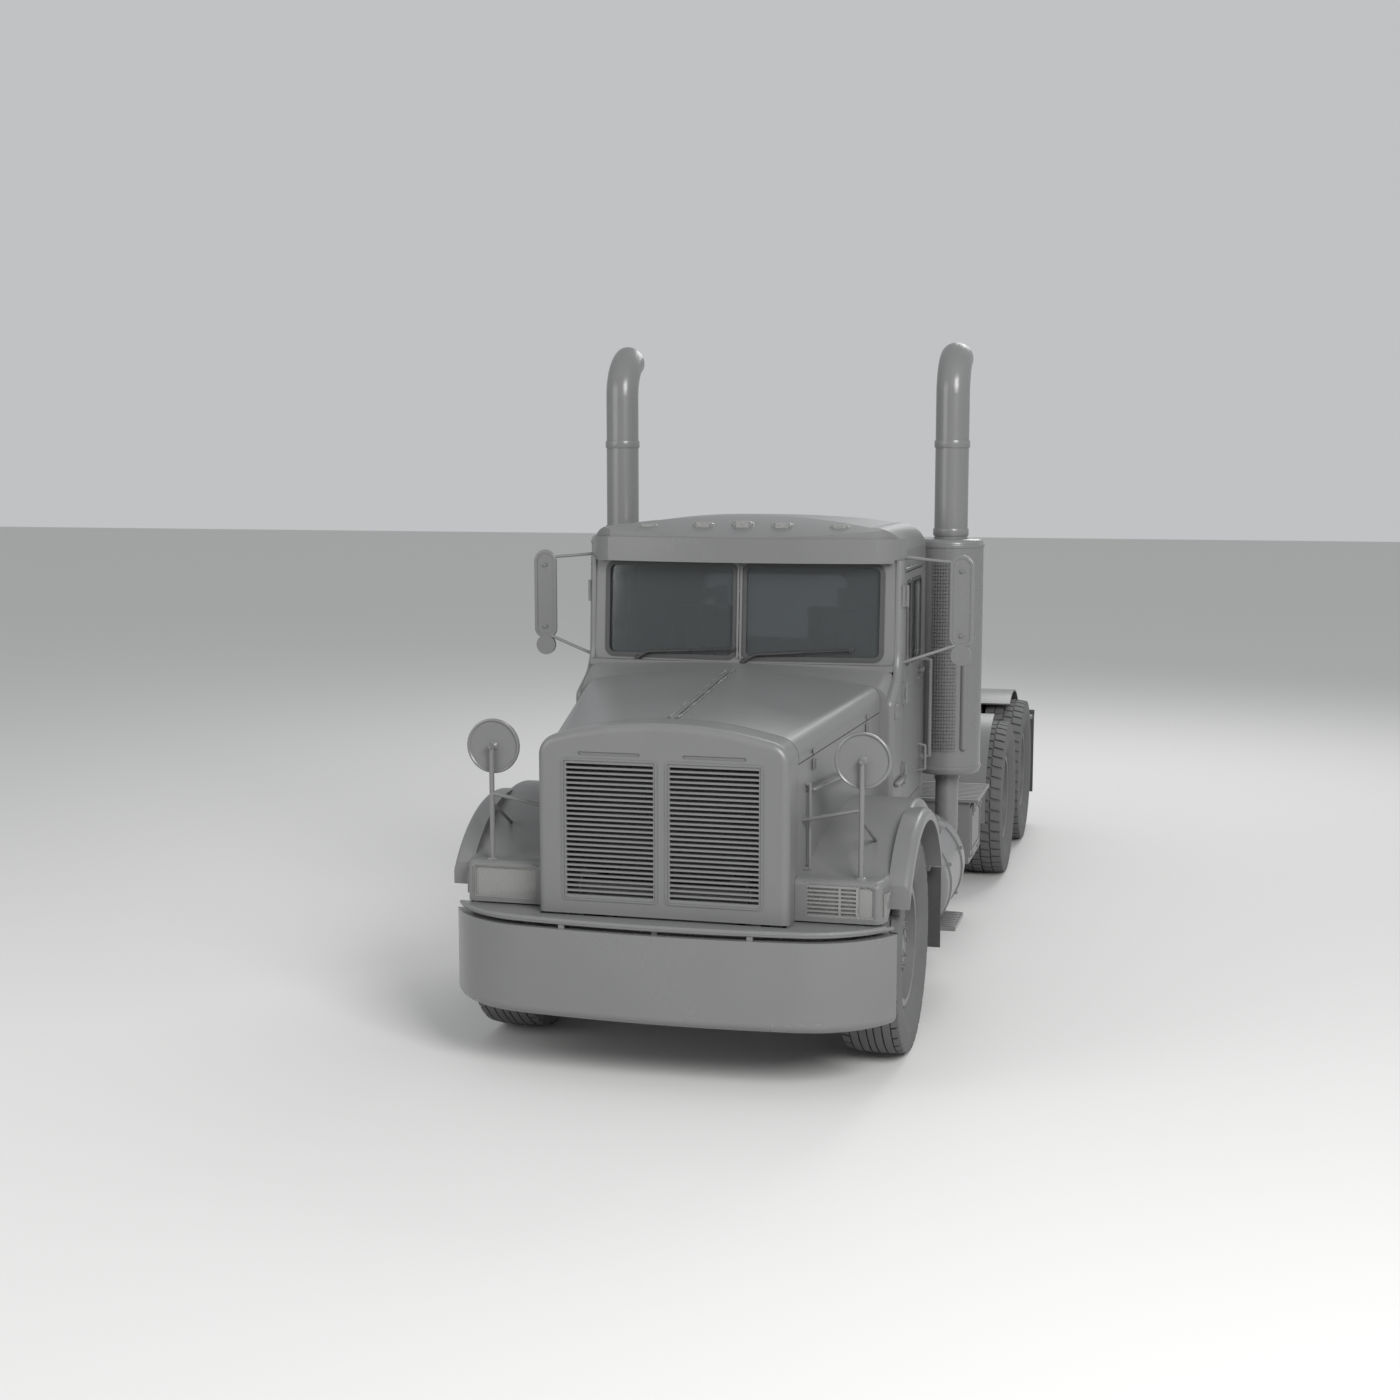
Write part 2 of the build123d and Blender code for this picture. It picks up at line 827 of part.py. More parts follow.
# Round mirrors on the fenders
disc_x, post_y, disc_z = mirror_disc_at
disc = rod(mirror_disc, (disc_x - mirror_disc_thick, post_y, disc_z), mirror_disc_at)
rim = [e for e in disc.edges() if e.center().X > at(disc_x) - 1 and e.length > 2 * mirror_disc]
post_low = (mirror_post_x, post_y, fender_top - mirror_post)
post_high = (mirror_post_x, post_y, disc_z + mirror_post)
fender_mirror = joined(
    disc.fillet(mirror_disc_round, rim),
    rod(mirror_post, post_low, post_high),
    rod(mirror_brace, (mirror_post_x, post_y, disc_z), (disc_x - mirror_post, post_y, disc_z)),
    rod(mirror_brace, (mirror_post_x, post_y, mirror_brace_z), mirror_brace_end),
    rod(mirror_strut, (mirror_post_x, post_y, mirror_strut_z), mirror_strut_end),
)
fender_mirror = largest(fender_mirror - fender - hood_room)
write("fender_mirrors", fender_mirror, flip(fender_mirror))

# Cab floor, rear wall and sides


def door_rod(radius, low, high):
    """A rod on the left door's hinge line."""
    pin_y = cab_half + door_pin_out
    return rod(radius, (door_front, pin_y, low), (door_front, pin_y, high))


floor = block(cab_rear + cab_wall, cab_front - cab_wall, -inner, inner, cab_low, floor_top)
pad_long, pad_wide = pad_size
for x in pad_places:
    for y in (-pad_y, pad_y):
        pad = Box(pad_long, pad_wide, cab_low - frame_top)
        floor = floor + Pos(at(x), y, (frame_top + cab_low) / 2) * pad
write("cab_floor", floor)

rear_window_high = cab_top - rear_window_drop
rear_wall = block(cab_rear, cab_rear + cab_wall, -inner, inner, cab_low, cab_top)
rear_wall = rear_wall - window("X", cab_rear - 1, cab_rear + cab_wall + 1, -rear_window_half,
                               rear_window_half, rear_window_low, rear_window_high, rear_window_corner)
write("cab_rear_wall", rear_wall)

pillar = bend_run((cab_front, cowl_side_high), 90, *pillar_foot)
foot_x, foot_z = pillar[-1][1]
pillar_top = (foot_x - (cab_top - foot_z) * tan(radians(pillar_lean)), cab_top)
side = slab("Y", inner, cab_half, (cab_rear, cab_low), (cab_front, cab_low), (cab_front, cowl_side_high),
            *pillar, pillar_top, (cab_rear, cab_top))
outer_edges = [e for e in side.edges() if abs(e.center().Y - cab_half) < 1 and e.center().X > at(door_front)]
side = side.fillet(cab_round, [e for e in outer_edges if cab_low + 1 < e.center().Z < cab_top - 1])
side = side - window("Y", inner - 1, cab_half + 1, door_rear - seam_gap, door_front + seam_gap, door_low,
                     door_high, door_corner)
pin_in = cab_half - door_pin
leaf_out = cab_half + hinge_leaf
for z in hinge_heights:
    side = side + block(door_front + door_pin_out, door_front + hinge_half, pin_in, leaf_out,
                        z - hinge_half, z + hinge_half)
    for z0, z1 in ((z - hinge_half, z - hinge_mid - 1), (z + hinge_mid + 1, z + hinge_half)):
        side = side + door_rod(door_barrel, z0, z1)
        side = side + block(door_front, door_front + 2 * door_pin_out, leaf_out - door_pin,
                            leaf_out + hinge_step, z0, z1)
    side = side + door_rod(door_pin, z - hinge_half, z + hinge_half)
write("cab_sides", side, flip(side))

# Cowl with the windscreen frame, and the glass


def cowl_loft(front_x, inset, low):
    """The cowl's skin, from the hood's arch to the flat foot of the windscreen."""
    ends = ((front_x, (inner, *hood_rear[1:4], low)),
            (cowl_back, (inner, screen_low, cowl_rear_arch, cowl_rear_corner, low)))
    wires = [outline(lambda u, v, x=x: (at(x), u, v), *arch_steps(shape, inset, low)) for x, shape in ends]
    return Solid.make_loft(wires, True)


def screen_band(sunk, thick):
    """The two flat halves of the windscreen, in a shallow V and leaning back."""
    mid = screen_mid_x - sunk
    edge = screen_side_x - sunk
    plan = ((mid, 0), (edge, inner), (edge - thick, inner), (mid - thick, 0), (edge - thick, -inner),
            (edge, -inner))
    face = Face(outline(lambda u, v: (at(u), v, screen_low), *plan))
    return Solid.extrude(face, Vector(-screen_lean, 0, cab_top - screen_low))


def screen_holes(gap):
    """The two openings of the windscreen, or with a gap the outlines of its panes."""
    holes = []
    for side in (1, -1):
        y0, y1 = sorted((side * screen_post, side * (inner - screen_edge)))
        holes.append(window("X", door_front, cab_front, y0 + gap, y1 - gap, screen_low + screen_sill + gap,
                            cab_top - screen_head - gap, screen_corner - gap))
    return holes


bulkhead = block(cab_front - cab_wall, cab_front, -inner, inner, cab_low, cowl_low + cowl_skin)
cowl_top = cowl_loft(cab_front, 0, cowl_low) - cowl_loft(cab_front - cowl_skin, cowl_skin, cowl_low - 1)
shelf = block(shelf_back, cowl_back + cowl_skin, -inner, inner, screen_low - shelf_thick, screen_low)
screen = screen_band(0, screen_frame) - screen_holes(0)
write("cab_cowl", joined(bulkhead, cowl_top, shelf, screen))

panes = [screen_band(glass_sunk, glass) & hole for hole in screen_holes(fit_gap)]
pane_x = cab_rear + glass_sunk
back_pane = window("X", pane_x, pane_x + glass, fit_gap - rear_window_half, rear_window_half - fit_gap,
                   rear_window_low + fit_gap, rear_window_high - fit_gap, rear_window_corner - fit_gap)
write("cab_glass", *panes, back_pane)

# Roof, visor and lamps


def roof_plan(grow, low, high, back):
    """Plan of the roof with its round front, which may be grown forward and out."""
    corner = (roof_corner[0], cab_half - roof_corner[1] + grow)
    brow = (roof_brow[0] + grow, cab_half - roof_brow[1] + brow_share * grow)
    return slab(
        "Z", low, high, (back, cab_half), (roof_turn, cab_half), (corner, brow),
        ((roof_nose + grow, 0), (brow[0], -brow[1])), ((corner[0], -corner[1]), (roof_turn, -cab_half)),
        (back, -cab_half),
    )


roof_base = cab_top - cab_wall
eave = (cab_half, cab_top + roof_side_rise)
shoulder = (cab_half - roof_shoulder[0], cab_top + roof_shoulder[1])
edge = (cab_half - roof_edge[0], cab_top + roof_edge[1])
crown = slab(
    "X", cab_rear - 1, cab_front, (-cab_half, roof_base), (cab_half, roof_base), eave, (shoulder, edge),
    ((0, roof_crown), (-edge[0], edge[1])), ((-shoulder[0], shoulder[1]), (-eave[0], eave[1])),
)
slope_via, slope_end = roof_slope
back = tuple((cab_rear + x, roof_crown - drop) for x, drop in roof_back)
profile = slab(
    "Y", -cab_half - 1, cab_half + 1, (cab_rear, roof_base), (cab_front, roof_base),
    (cab_front, cab_top + roof_front_rise[0]), (roof_nose + 4, cab_top + roof_front_rise[1]),
    ((slope_via[0], cab_top + slope_via[1]), (slope_end, roof_crown)), back[:2], back[2:],
)
roof = roof_plan(0, cab_top, roof_crown + 1, cab_rear) & crown & profile
head_z = cab_top + roof_edge[1] - cab_wall
roof = roof - slab("X", cab_rear + cab_wall, visor_back, (-inner, cab_top - 1), (inner, cab_top - 1),
                   (inner, eave[1]), (edge[0], head_z), (-edge[0], head_z), (-inner, eave[1]))
write("cab_roof", roof)

visor_half = cab_half + visor_out
visor = roof_plan(visor_out, cab_top - visor_drop, cab_top + visor_rise, roof_turn)
visor = visor - roof_plan(fit_gap, cab_top - 2 * visor_drop, roof_crown, roof_turn)
visor = visor & block(visor_back, cab_front, -visor_half, visor_half, roof_base, roof_crown)
visor = visor - block(visor_back, screen_side_x - seam_gap, -visor_half, visor_half, roof_base, cab_top + 1)
write("sun_visor", visor)

lamps = []
for y in roof_lamps:
    high = cab_top + roof_lamp_rise[1] - roof_lamp_fall * abs(y)
    body = block(*roof_lamp_x, y - roof_lamp_half, y + roof_lamp_half, cab_top + roof_lamp_rise[0], high)
    body = body.fillet(roof_lamp_round, [e for e in body.edges() if abs(e.tangent_at(0.5).Z) > 0.9])
    lamps.append(max((body - roof).solids(), key=lambda solid: solid.center().Z))
lens_out, lens_long, lens_high = side_lens
side_lamp = Pos(lens_out / 2 + fit_gap, 0, 0) * Box(lens_out, lens_long, lens_high)
side_lamp = Pos(at(side_lens_at[0]), *side_lens_at[1:]) * Rot(0, 0, 90 - fender_taper) * side_lamp
side_lamp = largest(side_lamp - wheel_bar(flare_radius + fit_gap, fender_inner_y, flare_y))
tail_wide, tail_low, tail_high = tail_lamp
for y in (-tail_lamp_y, tail_lamp_y):
    lamps.append(block(tail, tail_cross - cross_half, y - tail_wide / 2, y + tail_wide / 2,
                       tail_low, tail_high))
write("marker_lamps", *lamps, side_lamp, flip(side_lamp))

# Doors
door_in = cab_half - door_thick
door = window("Y", door_in, cab_half, door_rear, door_front, door_low + seam_gap, door_high - seam_gap,
              door_corner - seam_gap)
vent_rear = door_front - door_rail - vent_width
lights = ((door_rear + door_rail, vent_rear - vent_post), (vent_rear, door_front - door_rail))
light_high = door_high - door_window_drop
pane_y = door_in + door_glass_in
panes = []
for x0, x1 in lights:
    door = door - window("Y", door_in - 1, cab_half + 1, x0, x1, belt, light_high, window_corner)
    panes.append(window("Y", pane_y, pane_y + glass, x0 + fit_gap, x1 - fit_gap, belt + fit_gap,
                        light_high - fit_gap, window_corner - fit_gap))
for z in hinge_heights:
    door = door + block(door_front - hinge_half, door_front - 2, pin_in, leaf_out,
                        z - hinge_mid, z + hinge_mid)
    door = door + door_rod(door_barrel, z - hinge_mid, z + hinge_mid)
    door = door - door_rod(door_pin + run_gap, z - hinge_half, z + hinge_half)
write("door_left", door)
write("door_right", flip(door))
write("door_glass_left", *panes)
write("door_glass_right", *[flip(pane) for pane in panes])

# Cab mirrors


def mirror_head(back, front, grow):
    """The mirror's outline, round at the top, grown by a margin."""
    corner = mirror_corner + grow
    k = corner * (1 - sqrt(0.5))
    y0, y1 = mirror_y - mirror_half - grow, mirror_y + mirror_half + grow
    low = mirror_low - grow
    low_left = ((y0 + k, low + k), (y0 + corner, low))
    low_right = ((y1 - k, low + k), (y1, low + corner))
    top = ((mirror_y, mirror_high + mirror_half + grow), (y0, mirror_high))
    return slab("X", mirror_x + back, mirror_x + front, (y0, low + corner), low_left, (y1 - corner, low),
                low_right, (y1, mirror_high), top)


loop = mirror_head(-mirror_tube, mirror_tube, mirror_tube)
loop = loop.fillet(mirror_round, [e for e in loop.edges() if abs(e.tangent_at(0.5).X) < 0.5])
for back, front in ((-mirror_tube - 1, -mirror_plate / 2), (mirror_plate / 2, mirror_tube + 1)):
    loop = loop - mirror_head(back, front, -mirror_tube)
spot_back = mirror_x - spot_thick / 2
spot = rod(spot_radius, (spot_back, mirror_y, spot_z), (spot_back + spot_thick, mirror_y, spot_z))
cab_mirror = joined(loop, spot)
for (x, cab_z), (inward, z) in mirror_arms:
    cab_mirror = cab_mirror + rod(mirror_arm, (x, inner, cab_z), (mirror_x, mirror_y - inward, z))
cab_mirror = cab_mirror - side - roof
cab_mirror = largest(cab_mirror)
write("cab_mirrors", cab_mirror, flip(cab_mirror))

# Cab inside
dash = slab("Y", -dash_half, dash_half, *dash_side)
write("dashboard", dash)
lean = radians(wheel_lean)
wheel_plane = Plane(origin=(at(wheel_hub[0]), *wheel_hub[1:]), z_dir=(-sin(lean), 0, cos(lean)))
boss_radius_in, boss_high, boss_drop = wheel_boss
steering = [wheel_plane * Torus(wheel_radius, wheel_grip),
            wheel_plane * Pos(0, 0, boss_drop) * Cylinder(boss_radius_in, boss_high)]
for turn in (0, 120, 240):
    spoke = Pos(wheel_radius / 2, 0, -wheel_grip / 2) * Box(*wheel_spoke)
    steering.append(wheel_plane * Rot(0, 0, turn) * spoke)
column_end = (wheel_hub[0] + column_length * sin(lean), wheel_hub[1],
              wheel_hub[2] - column_length * cos(lean))
column = rod(column_radius, wheel_hub, column_end) - dash
steering.append(max(column.solids(), key=lambda solid: solid.center().Z))
write("steering_wheel", joined(*steering))
seat = slab("Y", seat_inner, seat_outer, (seat_foot[1], floor_top), *seat_side, (seat_foot[0], floor_top))
write("seats", seat, flip(seat))

# Engine, shafts and axles
engine = joined(
    block(engine_back, engine_front, -engine_half, engine_half, engine_low, engine_high),
    block(gearbox_back, engine_back, -gearbox_half, gearbox_half, *gearbox_z),
    block(*mount_x, -rail_inner, rail_inner, *mount_z),
)
write("engine_block", engine)

pinion_z = axle_z + pinion_rise
drive_axles = []
for x in (first, second):
    drive_axles.append(joined(
        rod(axle_tube, (x, -axle_tube_end, axle_z), (x, axle_tube_end, axle_z)),
        rod(drive_spindle_radius, (x, -axle_spindle_end, axle_z), (x, axle_spindle_end, axle_z)),
        rod(diff_radius, (x + diff_ends[0], 0, axle_z), (x + diff_ends[1], 0, axle_z)),
        rod(pinion_radius, (x + diff_ends[1] / 2, 0, pinion_z), (x + pinion_end, 0, pinion_z)),
    ))
write("drive_axles", *drive_axles)
shafts = (
    rod(shaft_radius, (gearbox_back, 0, shaft_start_z), (first + pinion_end, 0, pinion_z)),
    rod(shaft_radius, (first + diff_ends[0], 0, pinion_z), (second + pinion_end, 0, pinion_z)),
)
write("drive_shafts", *[shaft - drive_axles[0] - drive_axles[1] - engine for shaft in shafts])

seat_z = axle_z - beam_seat
toe_z = seat_z - beam_toe
beam_low = seat_z - beam_deep
saddle_low, saddle_high, saddle_rise = beam_saddle
spring_y = (rail_lip + spring_gap, rail_outer - spring_gap)
beam = slab(
    "Y", *spring_y, (first + beam_pad, seat_z), (first + beam_end, toe_z), (first - beam_slope, beam_low),
    (second + beam_slope, beam_low), (second - beam_end, toe_z), (second - beam_pad, seat_z),
    (second + beam_deep, seat_z), (middle - saddle_low, seat_z + saddle_rise),
    (middle - saddle_high, frame_low), (middle + saddle_high, frame_low),
    (middle + saddle_low, seat_z + saddle_rise), (first - beam_deep, seat_z),
)
eye_in = leaf_half - leaf_eye
tip = (leaf_half - leaf_tip[0], leaf_eye_z - leaf_tip[1])
root = (eye_in - leaf_root[0], leaf_eye_z + leaf_root[1])
leaf = slab(
    "Y", *spring_y, (-leaf_half, frame_low), (-leaf_half, leaf_eye_z), (-tip[0], tip[1]),
    ((0, leaf_sag), tip), (leaf_half, leaf_eye_z), (leaf_half, frame_low), (eye_in, frame_low), root,
    ((0, leaf_sag + leaf_thick), (-root[0], root[1])), (-eye_in, frame_low),
)
write("springs_and_beams", beam, flip(beam), leaf, flip(leaf))

end_y, end_low, end_high = axle_end
mid_y, mid_low, mid_high = axle_mid
axle = slab("X", -axle_half, axle_half, (-end_y, end_high), (-mid_y, mid_high), (mid_y, mid_high),
            (end_y, end_high), (end_y, end_low), (mid_y, mid_low), (-mid_y, mid_low), (-end_y, end_low))
pocket_y, pocket_low, pocket_high = axle_pocket
for x0, x1 in ((-axle_half - 1, -axle_web), (axle_web, axle_half + 1)):
    axle = axle - block(x0, x1, -pocket_y, pocket_y, pocket_low, pocket_high)
for y in (-kingpin_y, kingpin_y):
    axle = axle + rod(boss_radius, (0, y, axle_z - boss_half), (0, y, axle_z + boss_half))
    axle = axle - rod(kingpin_radius + run_gap, (0, y, bumper_low), (0, y, frame_top))
write("front_axle", axle)

# Steering knuckles and tie rod
ear_low = axle_z - boss_half - ear_gap
ear_high = axle_z + boss_half + ear_gap
knuckle_low = ear_low - ear_thick
knuckle_high = ear_high + ear_thick
ear_y0 = kingpin_y - ear_inner
face_in, face_out = knuckle_face
arm_top = knuckle_low + arm_thick
rod_z = arm_top + tie_gap + tie_eye_half
knuckle = joined(
    rod(kingpin_radius, (0, kingpin_y, knuckle_low), (0, kingpin_y, knuckle_high)),
    block(-ear_half, ear_half, ear_y0, face_out, ear_high, knuckle_high),
    block(-ear_half, ear_half, ear_y0, face_out, knuckle_low, ear_low),
    block(-ear_half, ear_half, face_in, face_out, knuckle_low, knuckle_high),
    rod(spindle_radius, (0, face_in, axle_z), (0, spindle_end, axle_z)),
    block(arm_x, -ear_half + 1, kingpin_y - arm_half, kingpin_y + arm_half, knuckle_low, arm_top),
    rod(arm_half, (arm_x, kingpin_y, knuckle_low), (arm_x, kingpin_y, arm_top)),
    rod(ball_pin, (arm_x, kingpin_y, arm_top - 1), (arm_x, kingpin_y, rod_z + tie_eye_half + tie_gap)),
)
write("knuckle_left", knuckle)
write("knuckle_right", flip(knuckle))
tie = rod(tie_radius, (arm_x, -kingpin_y, rod_z), (arm_x, kingpin_y, rod_z))
for y in (-kingpin_y, kingpin_y):
    tie = tie + rod(tie_eye, (arm_x, y, rod_z - tie_eye_half), (arm_x, y, rod_z + tie_eye_half))
for y in (-kingpin_y, kingpin_y):
    tie = tie - rod(ball_pin + run_gap, (arm_x, y, knuckle_low), (arm_x, y, knuckle_high))
write("tie_rod", tie)

# Wheels


def tyre():
    """A plain tyre ring with sidewalls, centred on its own middle plane."""
    half = tyre_width / 2
    tread = tread_width / 2
    seat = rim_width / 2 - rim_lip_thick - sidewall[0][0]
    bead = bead_radius + run_gap
    (bead_out, bead_high), (bulge_low, bulge_high), shoulder_drop = sidewall
    right = ((seat, bead), (seat + bead_out, bead + bead_high), (half, bead + bulge_low),
             (half - bead_out, bead + bulge_high), (tread, tyre_radius - shoulder_drop),
             (tread - tread_crown, tyre_radius))
    left = [(-y, r) for y, r in reversed(right)]
    return revolve(Face(outline(lambda y, r: (r, y, 0), *right, *left)), Axis.Y)


def holes(y0, y1):
    """The disc's tapering hand holes."""
    cut = []
    for n in range(hand_holes):
        face = Face(outline(lambda u, v: (u, y0, v), *hand_hole))
        cut.append(Solid.extrude(face, Vector(0, y1 - y0, 0)).rotate(Axis.Y, 360 / hand_holes * n))
    return cut


def rim_parts(y):
    bore = bead_radius - rim_wall
    half = rim_width / 2
    barrel = ring(bore, bead_radius, y - half, y + half)
    lips = [ring(bore, bead_radius + rim_lip, edge, edge + rim_lip_thick)
            for edge in (y - half, y + half - rim_lip_thick)]
    return [barrel, *lips]


def wheel(middles, disc, hub, bearing, bearing_end):
    """Rims on one disc, with a hub that is open outside and runs on its spindle inside."""
    hub_radius, hub_in, hub_out = hub
    bore = bead_radius - rim_wall
    plate = ring(0, bore + 1, *disc) - holes(disc[0] - 1, disc[1] + 1)
    pieces = [piece for y in middles for piece in rim_parts(y)]
    whole = joined(*pieces, ring(bore, bead_radius, min(middles), max(middles) + 1), plate,
                   ring(0, hub_radius, hub_in, hub_out))
    whole = whole - ring(0, hub_mouth, hub_out - hub_depth, hub_out + 1)
    return whole - ring(0, bearing + run_gap, hub_in - 1, bearing_end)


front_wheel = wheel((0,), front_disc, front_hub, spindle_radius, spindle_end - steer_track + run_gap)
drive_wheel = wheel((dual_outer, dual_inner), drive_disc, drive_hub, drive_spindle_radius,
                    axle_spindle_end + run_gap)
# name, X, wheel, Y of its tyres, Y of the wheel's own middle
wheel_table = (
    ("front", 0, front_wheel, (steer_track,), steer_track),
    ("drive_1", first, drive_wheel, (dual_outer, dual_inner), 0),
    ("drive_2", second, drive_wheel, (dual_outer, dual_inner), 0),
)
one_tyre = tyre()
for name, x, solid, tyre_places, wheel_y in wheel_table:
    tyres = [Pos(at(x), y, axle_z) * one_tyre for y in tyre_places]
    whole = Pos(at(x), wheel_y, axle_z) * solid
    write(f"tyre_{name}_left", *tyres)
    write(f"wheel_{name}_left", whole)
    write(f"tyre_{name}_right", *[flip(piece) for piece in tyres])
    write(f"wheel_{name}_right", flip(whole))

# Exhaust
muffler = rod(muffler_radius, (stack_x, stack_y, muffler_low), (stack_x, stack_y, muffler_high))
muffler = muffler.fillet(muffler_round, muffler.edges().filter_by(GeomType.CIRCLE))
turn = radians(grip_turn)
grip_at = (stack_x + muffler_radius * cos(turn), stack_y + muffler_radius * sin(turn))
stand_x = (stack_x - stand_half, stack_x + stand_half)
arm_places = (stack_x - stand_arm_half, stack_x + stand_arm_half)
muffler = joined(
    muffler, rod(grip_radius, (*grip_at, grip_low), (*grip_at, grip_high)),
    ball(grip_radius, *grip_at, grip_low), ball(grip_radius, *grip_at, grip_high),
    block(*stand_x, stand_y, rail_outer, frame_top, stand_top),
)
for z in stand_arms:
    muffler = muffler + block(*arm_places, rail_inner, stack_y - stand_arm_end, z - stand_arm_half,
                              z + stand_arm_half)
write("mufflers", muffler, flip(muffler))

base = (at(stack_x), stack_y, muffler_high)
knee = (at(stack_x), stack_y, stack_bend_z)
turn = radians(stack_turn)
bend_places = [(knee[0] - stack_bend * (1 - cos(a)), stack_y, stack_bend_z + stack_bend * sin(a))
               for a in (turn / 2, turn)]
line = Wire([Edge.make_line(base, knee), Edge.make_three_point_arc(knee, *bend_places)])
stack = Solid.sweep(Wire.make_circle(stack_radius, Plane(origin=base, z_dir=(0, 0, 1))), path=line)
mouth = Plane(origin=bend_places[1], z_dir=(sin(turn), 0, -cos(turn)))
stack = stack - Solid.make_cylinder(stack_radius - stack_wall, stack_mouth, mouth)
legs = ((stack_x, stack_y, muffler_low), (stack_x, stack_y, pipe_z), (stack_x, pipe_inner_y, pipe_z),
        (engine_back, pipe_inner_y, pipe_z + pipe_rise))
legs = [(at(x), y, z) for x, y, z in legs]
pipe_line = FilletPolyline(*legs, radius=pipe_bend)
pipe = sweep(Plane(origin=legs[0], z_dir=(0, 0, -1)) * Circle(pipe_radius), path=pipe_line) - engine
write("exhaust_pipes", stack, flip(stack), pipe, flip(pipe))

# Tanks, boxes and deck
tank = rod(tank_radius, (tank_rear, tank_y, tank_z), (tank_front, tank_y, tank_z))
tank = tank.fillet(tank_round, tank.edges().filter_by(GeomType.CIRCLE))
bracket_half, bracket_in, bracket_low, bracket_high = tank_bracket
strap_radius = tank_radius + strap_thick
for x in (tank_front - strap_inset, tank_rear + strap_inset):
    tank = tank + rod(strap_radius, (x - strap_half, tank_y, tank_z), (x + strap_half, tank_y, tank_z))
    tank = tank + block(x - bracket_half, x + bracket_half, rail_outer, tank_y - bracket_in,
                        bracket_low, bracket_high)
hanger_long, hanger_thick = hanger_size
hanger_y = (step_y[0] + hanger_in, step_y[0] + hanger_in + hanger_thick)
tank = tank + block(*step_x, *step_y, *step_z)
for x in (step_x[0] + hanger_inset, step_x[1] - hanger_inset):
    tank = tank + block(x - hanger_long / 2, x + hanger_long / 2, *hanger_y, step_z[1], hanger_high)
write("fuel_tanks", tank, flip(tank))
lid_x = (box_x[0] - lid_over, box_x[1] + lid_over)
box = joined(
    block(*box_x, rail_outer, box_y, *box_z),
    block(*lid_x, rail_outer, box_y + lid_out, box_z[1], box_z[1] + lid_thick),
)
write("side_boxes", box, flip(box))
deck_plate_top = frame_top + deck_plate_thick
write("deck_plate", block(*deck_plate_x, -deck_plate_half, deck_plate_half, frame_top, deck_plate_top))

# Guards and flaps


def guard(x, start, end):
    """A strip of guard over part of a tyre."""
    turns = [radians(start + (end - start) * share) for share in (0, 0.5, 1)]
    radii = (guard_radius, guard_radius - guard_skin)
    out, inn = [[(x + r * cos(t), axle_z + r * sin(t)) for t in turns] for r in radii]
    return slab("Y", *guard_y, out[0], (out[1], out[2]), inn[2], (inn[1], inn[0]))


guards = []
for x, turns, foot in zip((first, second), guard_turns, guard_feet):
    x0, x1, z0, z1 = foot
    bracket = block(x + x0, x + x1, rail_outer, rail_outer + guard_skin, z0, z1)
    guards.append(joined(guard(x, *turns), bracket))
write("rear_guards", *guards, *[flip(piece) for piece in guards])
flap_x = second - flap_back
bar_x = flap_x - flap_bar
bar_z = flap_z[1] - flap_bar_drop
flap = joined(
    block(flap_x - flap_thick, flap_x, *flap_y, *flap_z),
    rod(flap_bar, (bar_x, rail_outer, bar_z), (bar_x, flap_y[1], bar_z)),
)
front_flap = block(front_flap_x, front_flap_x + front_flap_thick, *front_flap_y, front_flap_low, fender_low)
write("mud_flaps", flap, flip(flap), front_flap, flip(front_flap))

# Fifth wheel
base_top = frame_top + fifth_base
pin_bore = rod(fifth_pin + run_gap, (fifth_x, -rail_outer, fifth_pivot_z),
               (fifth_x, rail_outer, fifth_pivot_z))
stand = block(fifth_x - fifth_base_half, fifth_x + fifth_base_half, -rail_outer, rail_outer,
              frame_top, base_top)
ear_arc = ((fifth_x, fifth_pivot_z + ear_round), (fifth_x + ear_round, fifth_pivot_z))
ear = slab("Y", *ear_y, (fifth_x - ear_foot, base_top), (fifth_x - ear_round, fifth_pivot_z), ear_arc,
           (fifth_x + ear_foot, base_top))
write("fifth_wheel_stand", joined(stand, ear, flip(ear)) - pin_bore)

plate_low = fifth_top - fifth_plate
tail_x, tail_half = fifth_x - fifth_tail[0], fifth_tail[1]
plate = joined(
    rod(fifth_radius, (fifth_x, 0, plate_low), (fifth_x, 0, fifth_top)),
    slab("Z", plate_low, fifth_top, (fifth_x, -fifth_shoulder), (fifth_x, fifth_shoulder),
         (tail_x, tail_half), (tail_x, -tail_half)),
)
pin_y = (cheek_y[0] + pin_proud, ear_y[1] + pin_proud)
cheek = joined(
    block(fifth_x - cheek_half, fifth_x + cheek_half, *cheek_y, fifth_pivot_z - fifth_plate,
          plate_low + cheek_sink),
    rod(fifth_pin, (fifth_x, pin_y[0], fifth_pivot_z), (fifth_x, pin_y[1], fifth_pivot_z)),
)
mouth_x, mouth_half = fifth_x - throat_mouth[0], throat_mouth[1]
throat_x = fifth_x - throat_deep
throat = slab("Z", plate_low - 1, fifth_top + 1, (fifth_x, kingpin_bore), (throat_x, kingpin_bore),
              (mouth_x, mouth_half), (mouth_x, -mouth_half), (throat_x, -kingpin_bore),
              (fifth_x, -kingpin_bore), ((fifth_x + kingpin_bore, 0), (fifth_x, kingpin_bore)))
write("fifth_wheel_plate", joined(plate, cheek, flip(cheek)) - throat)
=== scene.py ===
# %% [markdown]
# # A conventional semi truck tractor, dressed over its CAD frame
#
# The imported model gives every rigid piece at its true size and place. This lesson paints those pieces,
# swaps the plain tyres and seats for detailed meshes and adds the small parts that a builder screws on last.

# %% Load the frame
from math import atan2, cos, exp, hypot, pi, radians, sin

import bmesh
import bpy
from bmesh import ops
from mathutils import Matrix, Vector


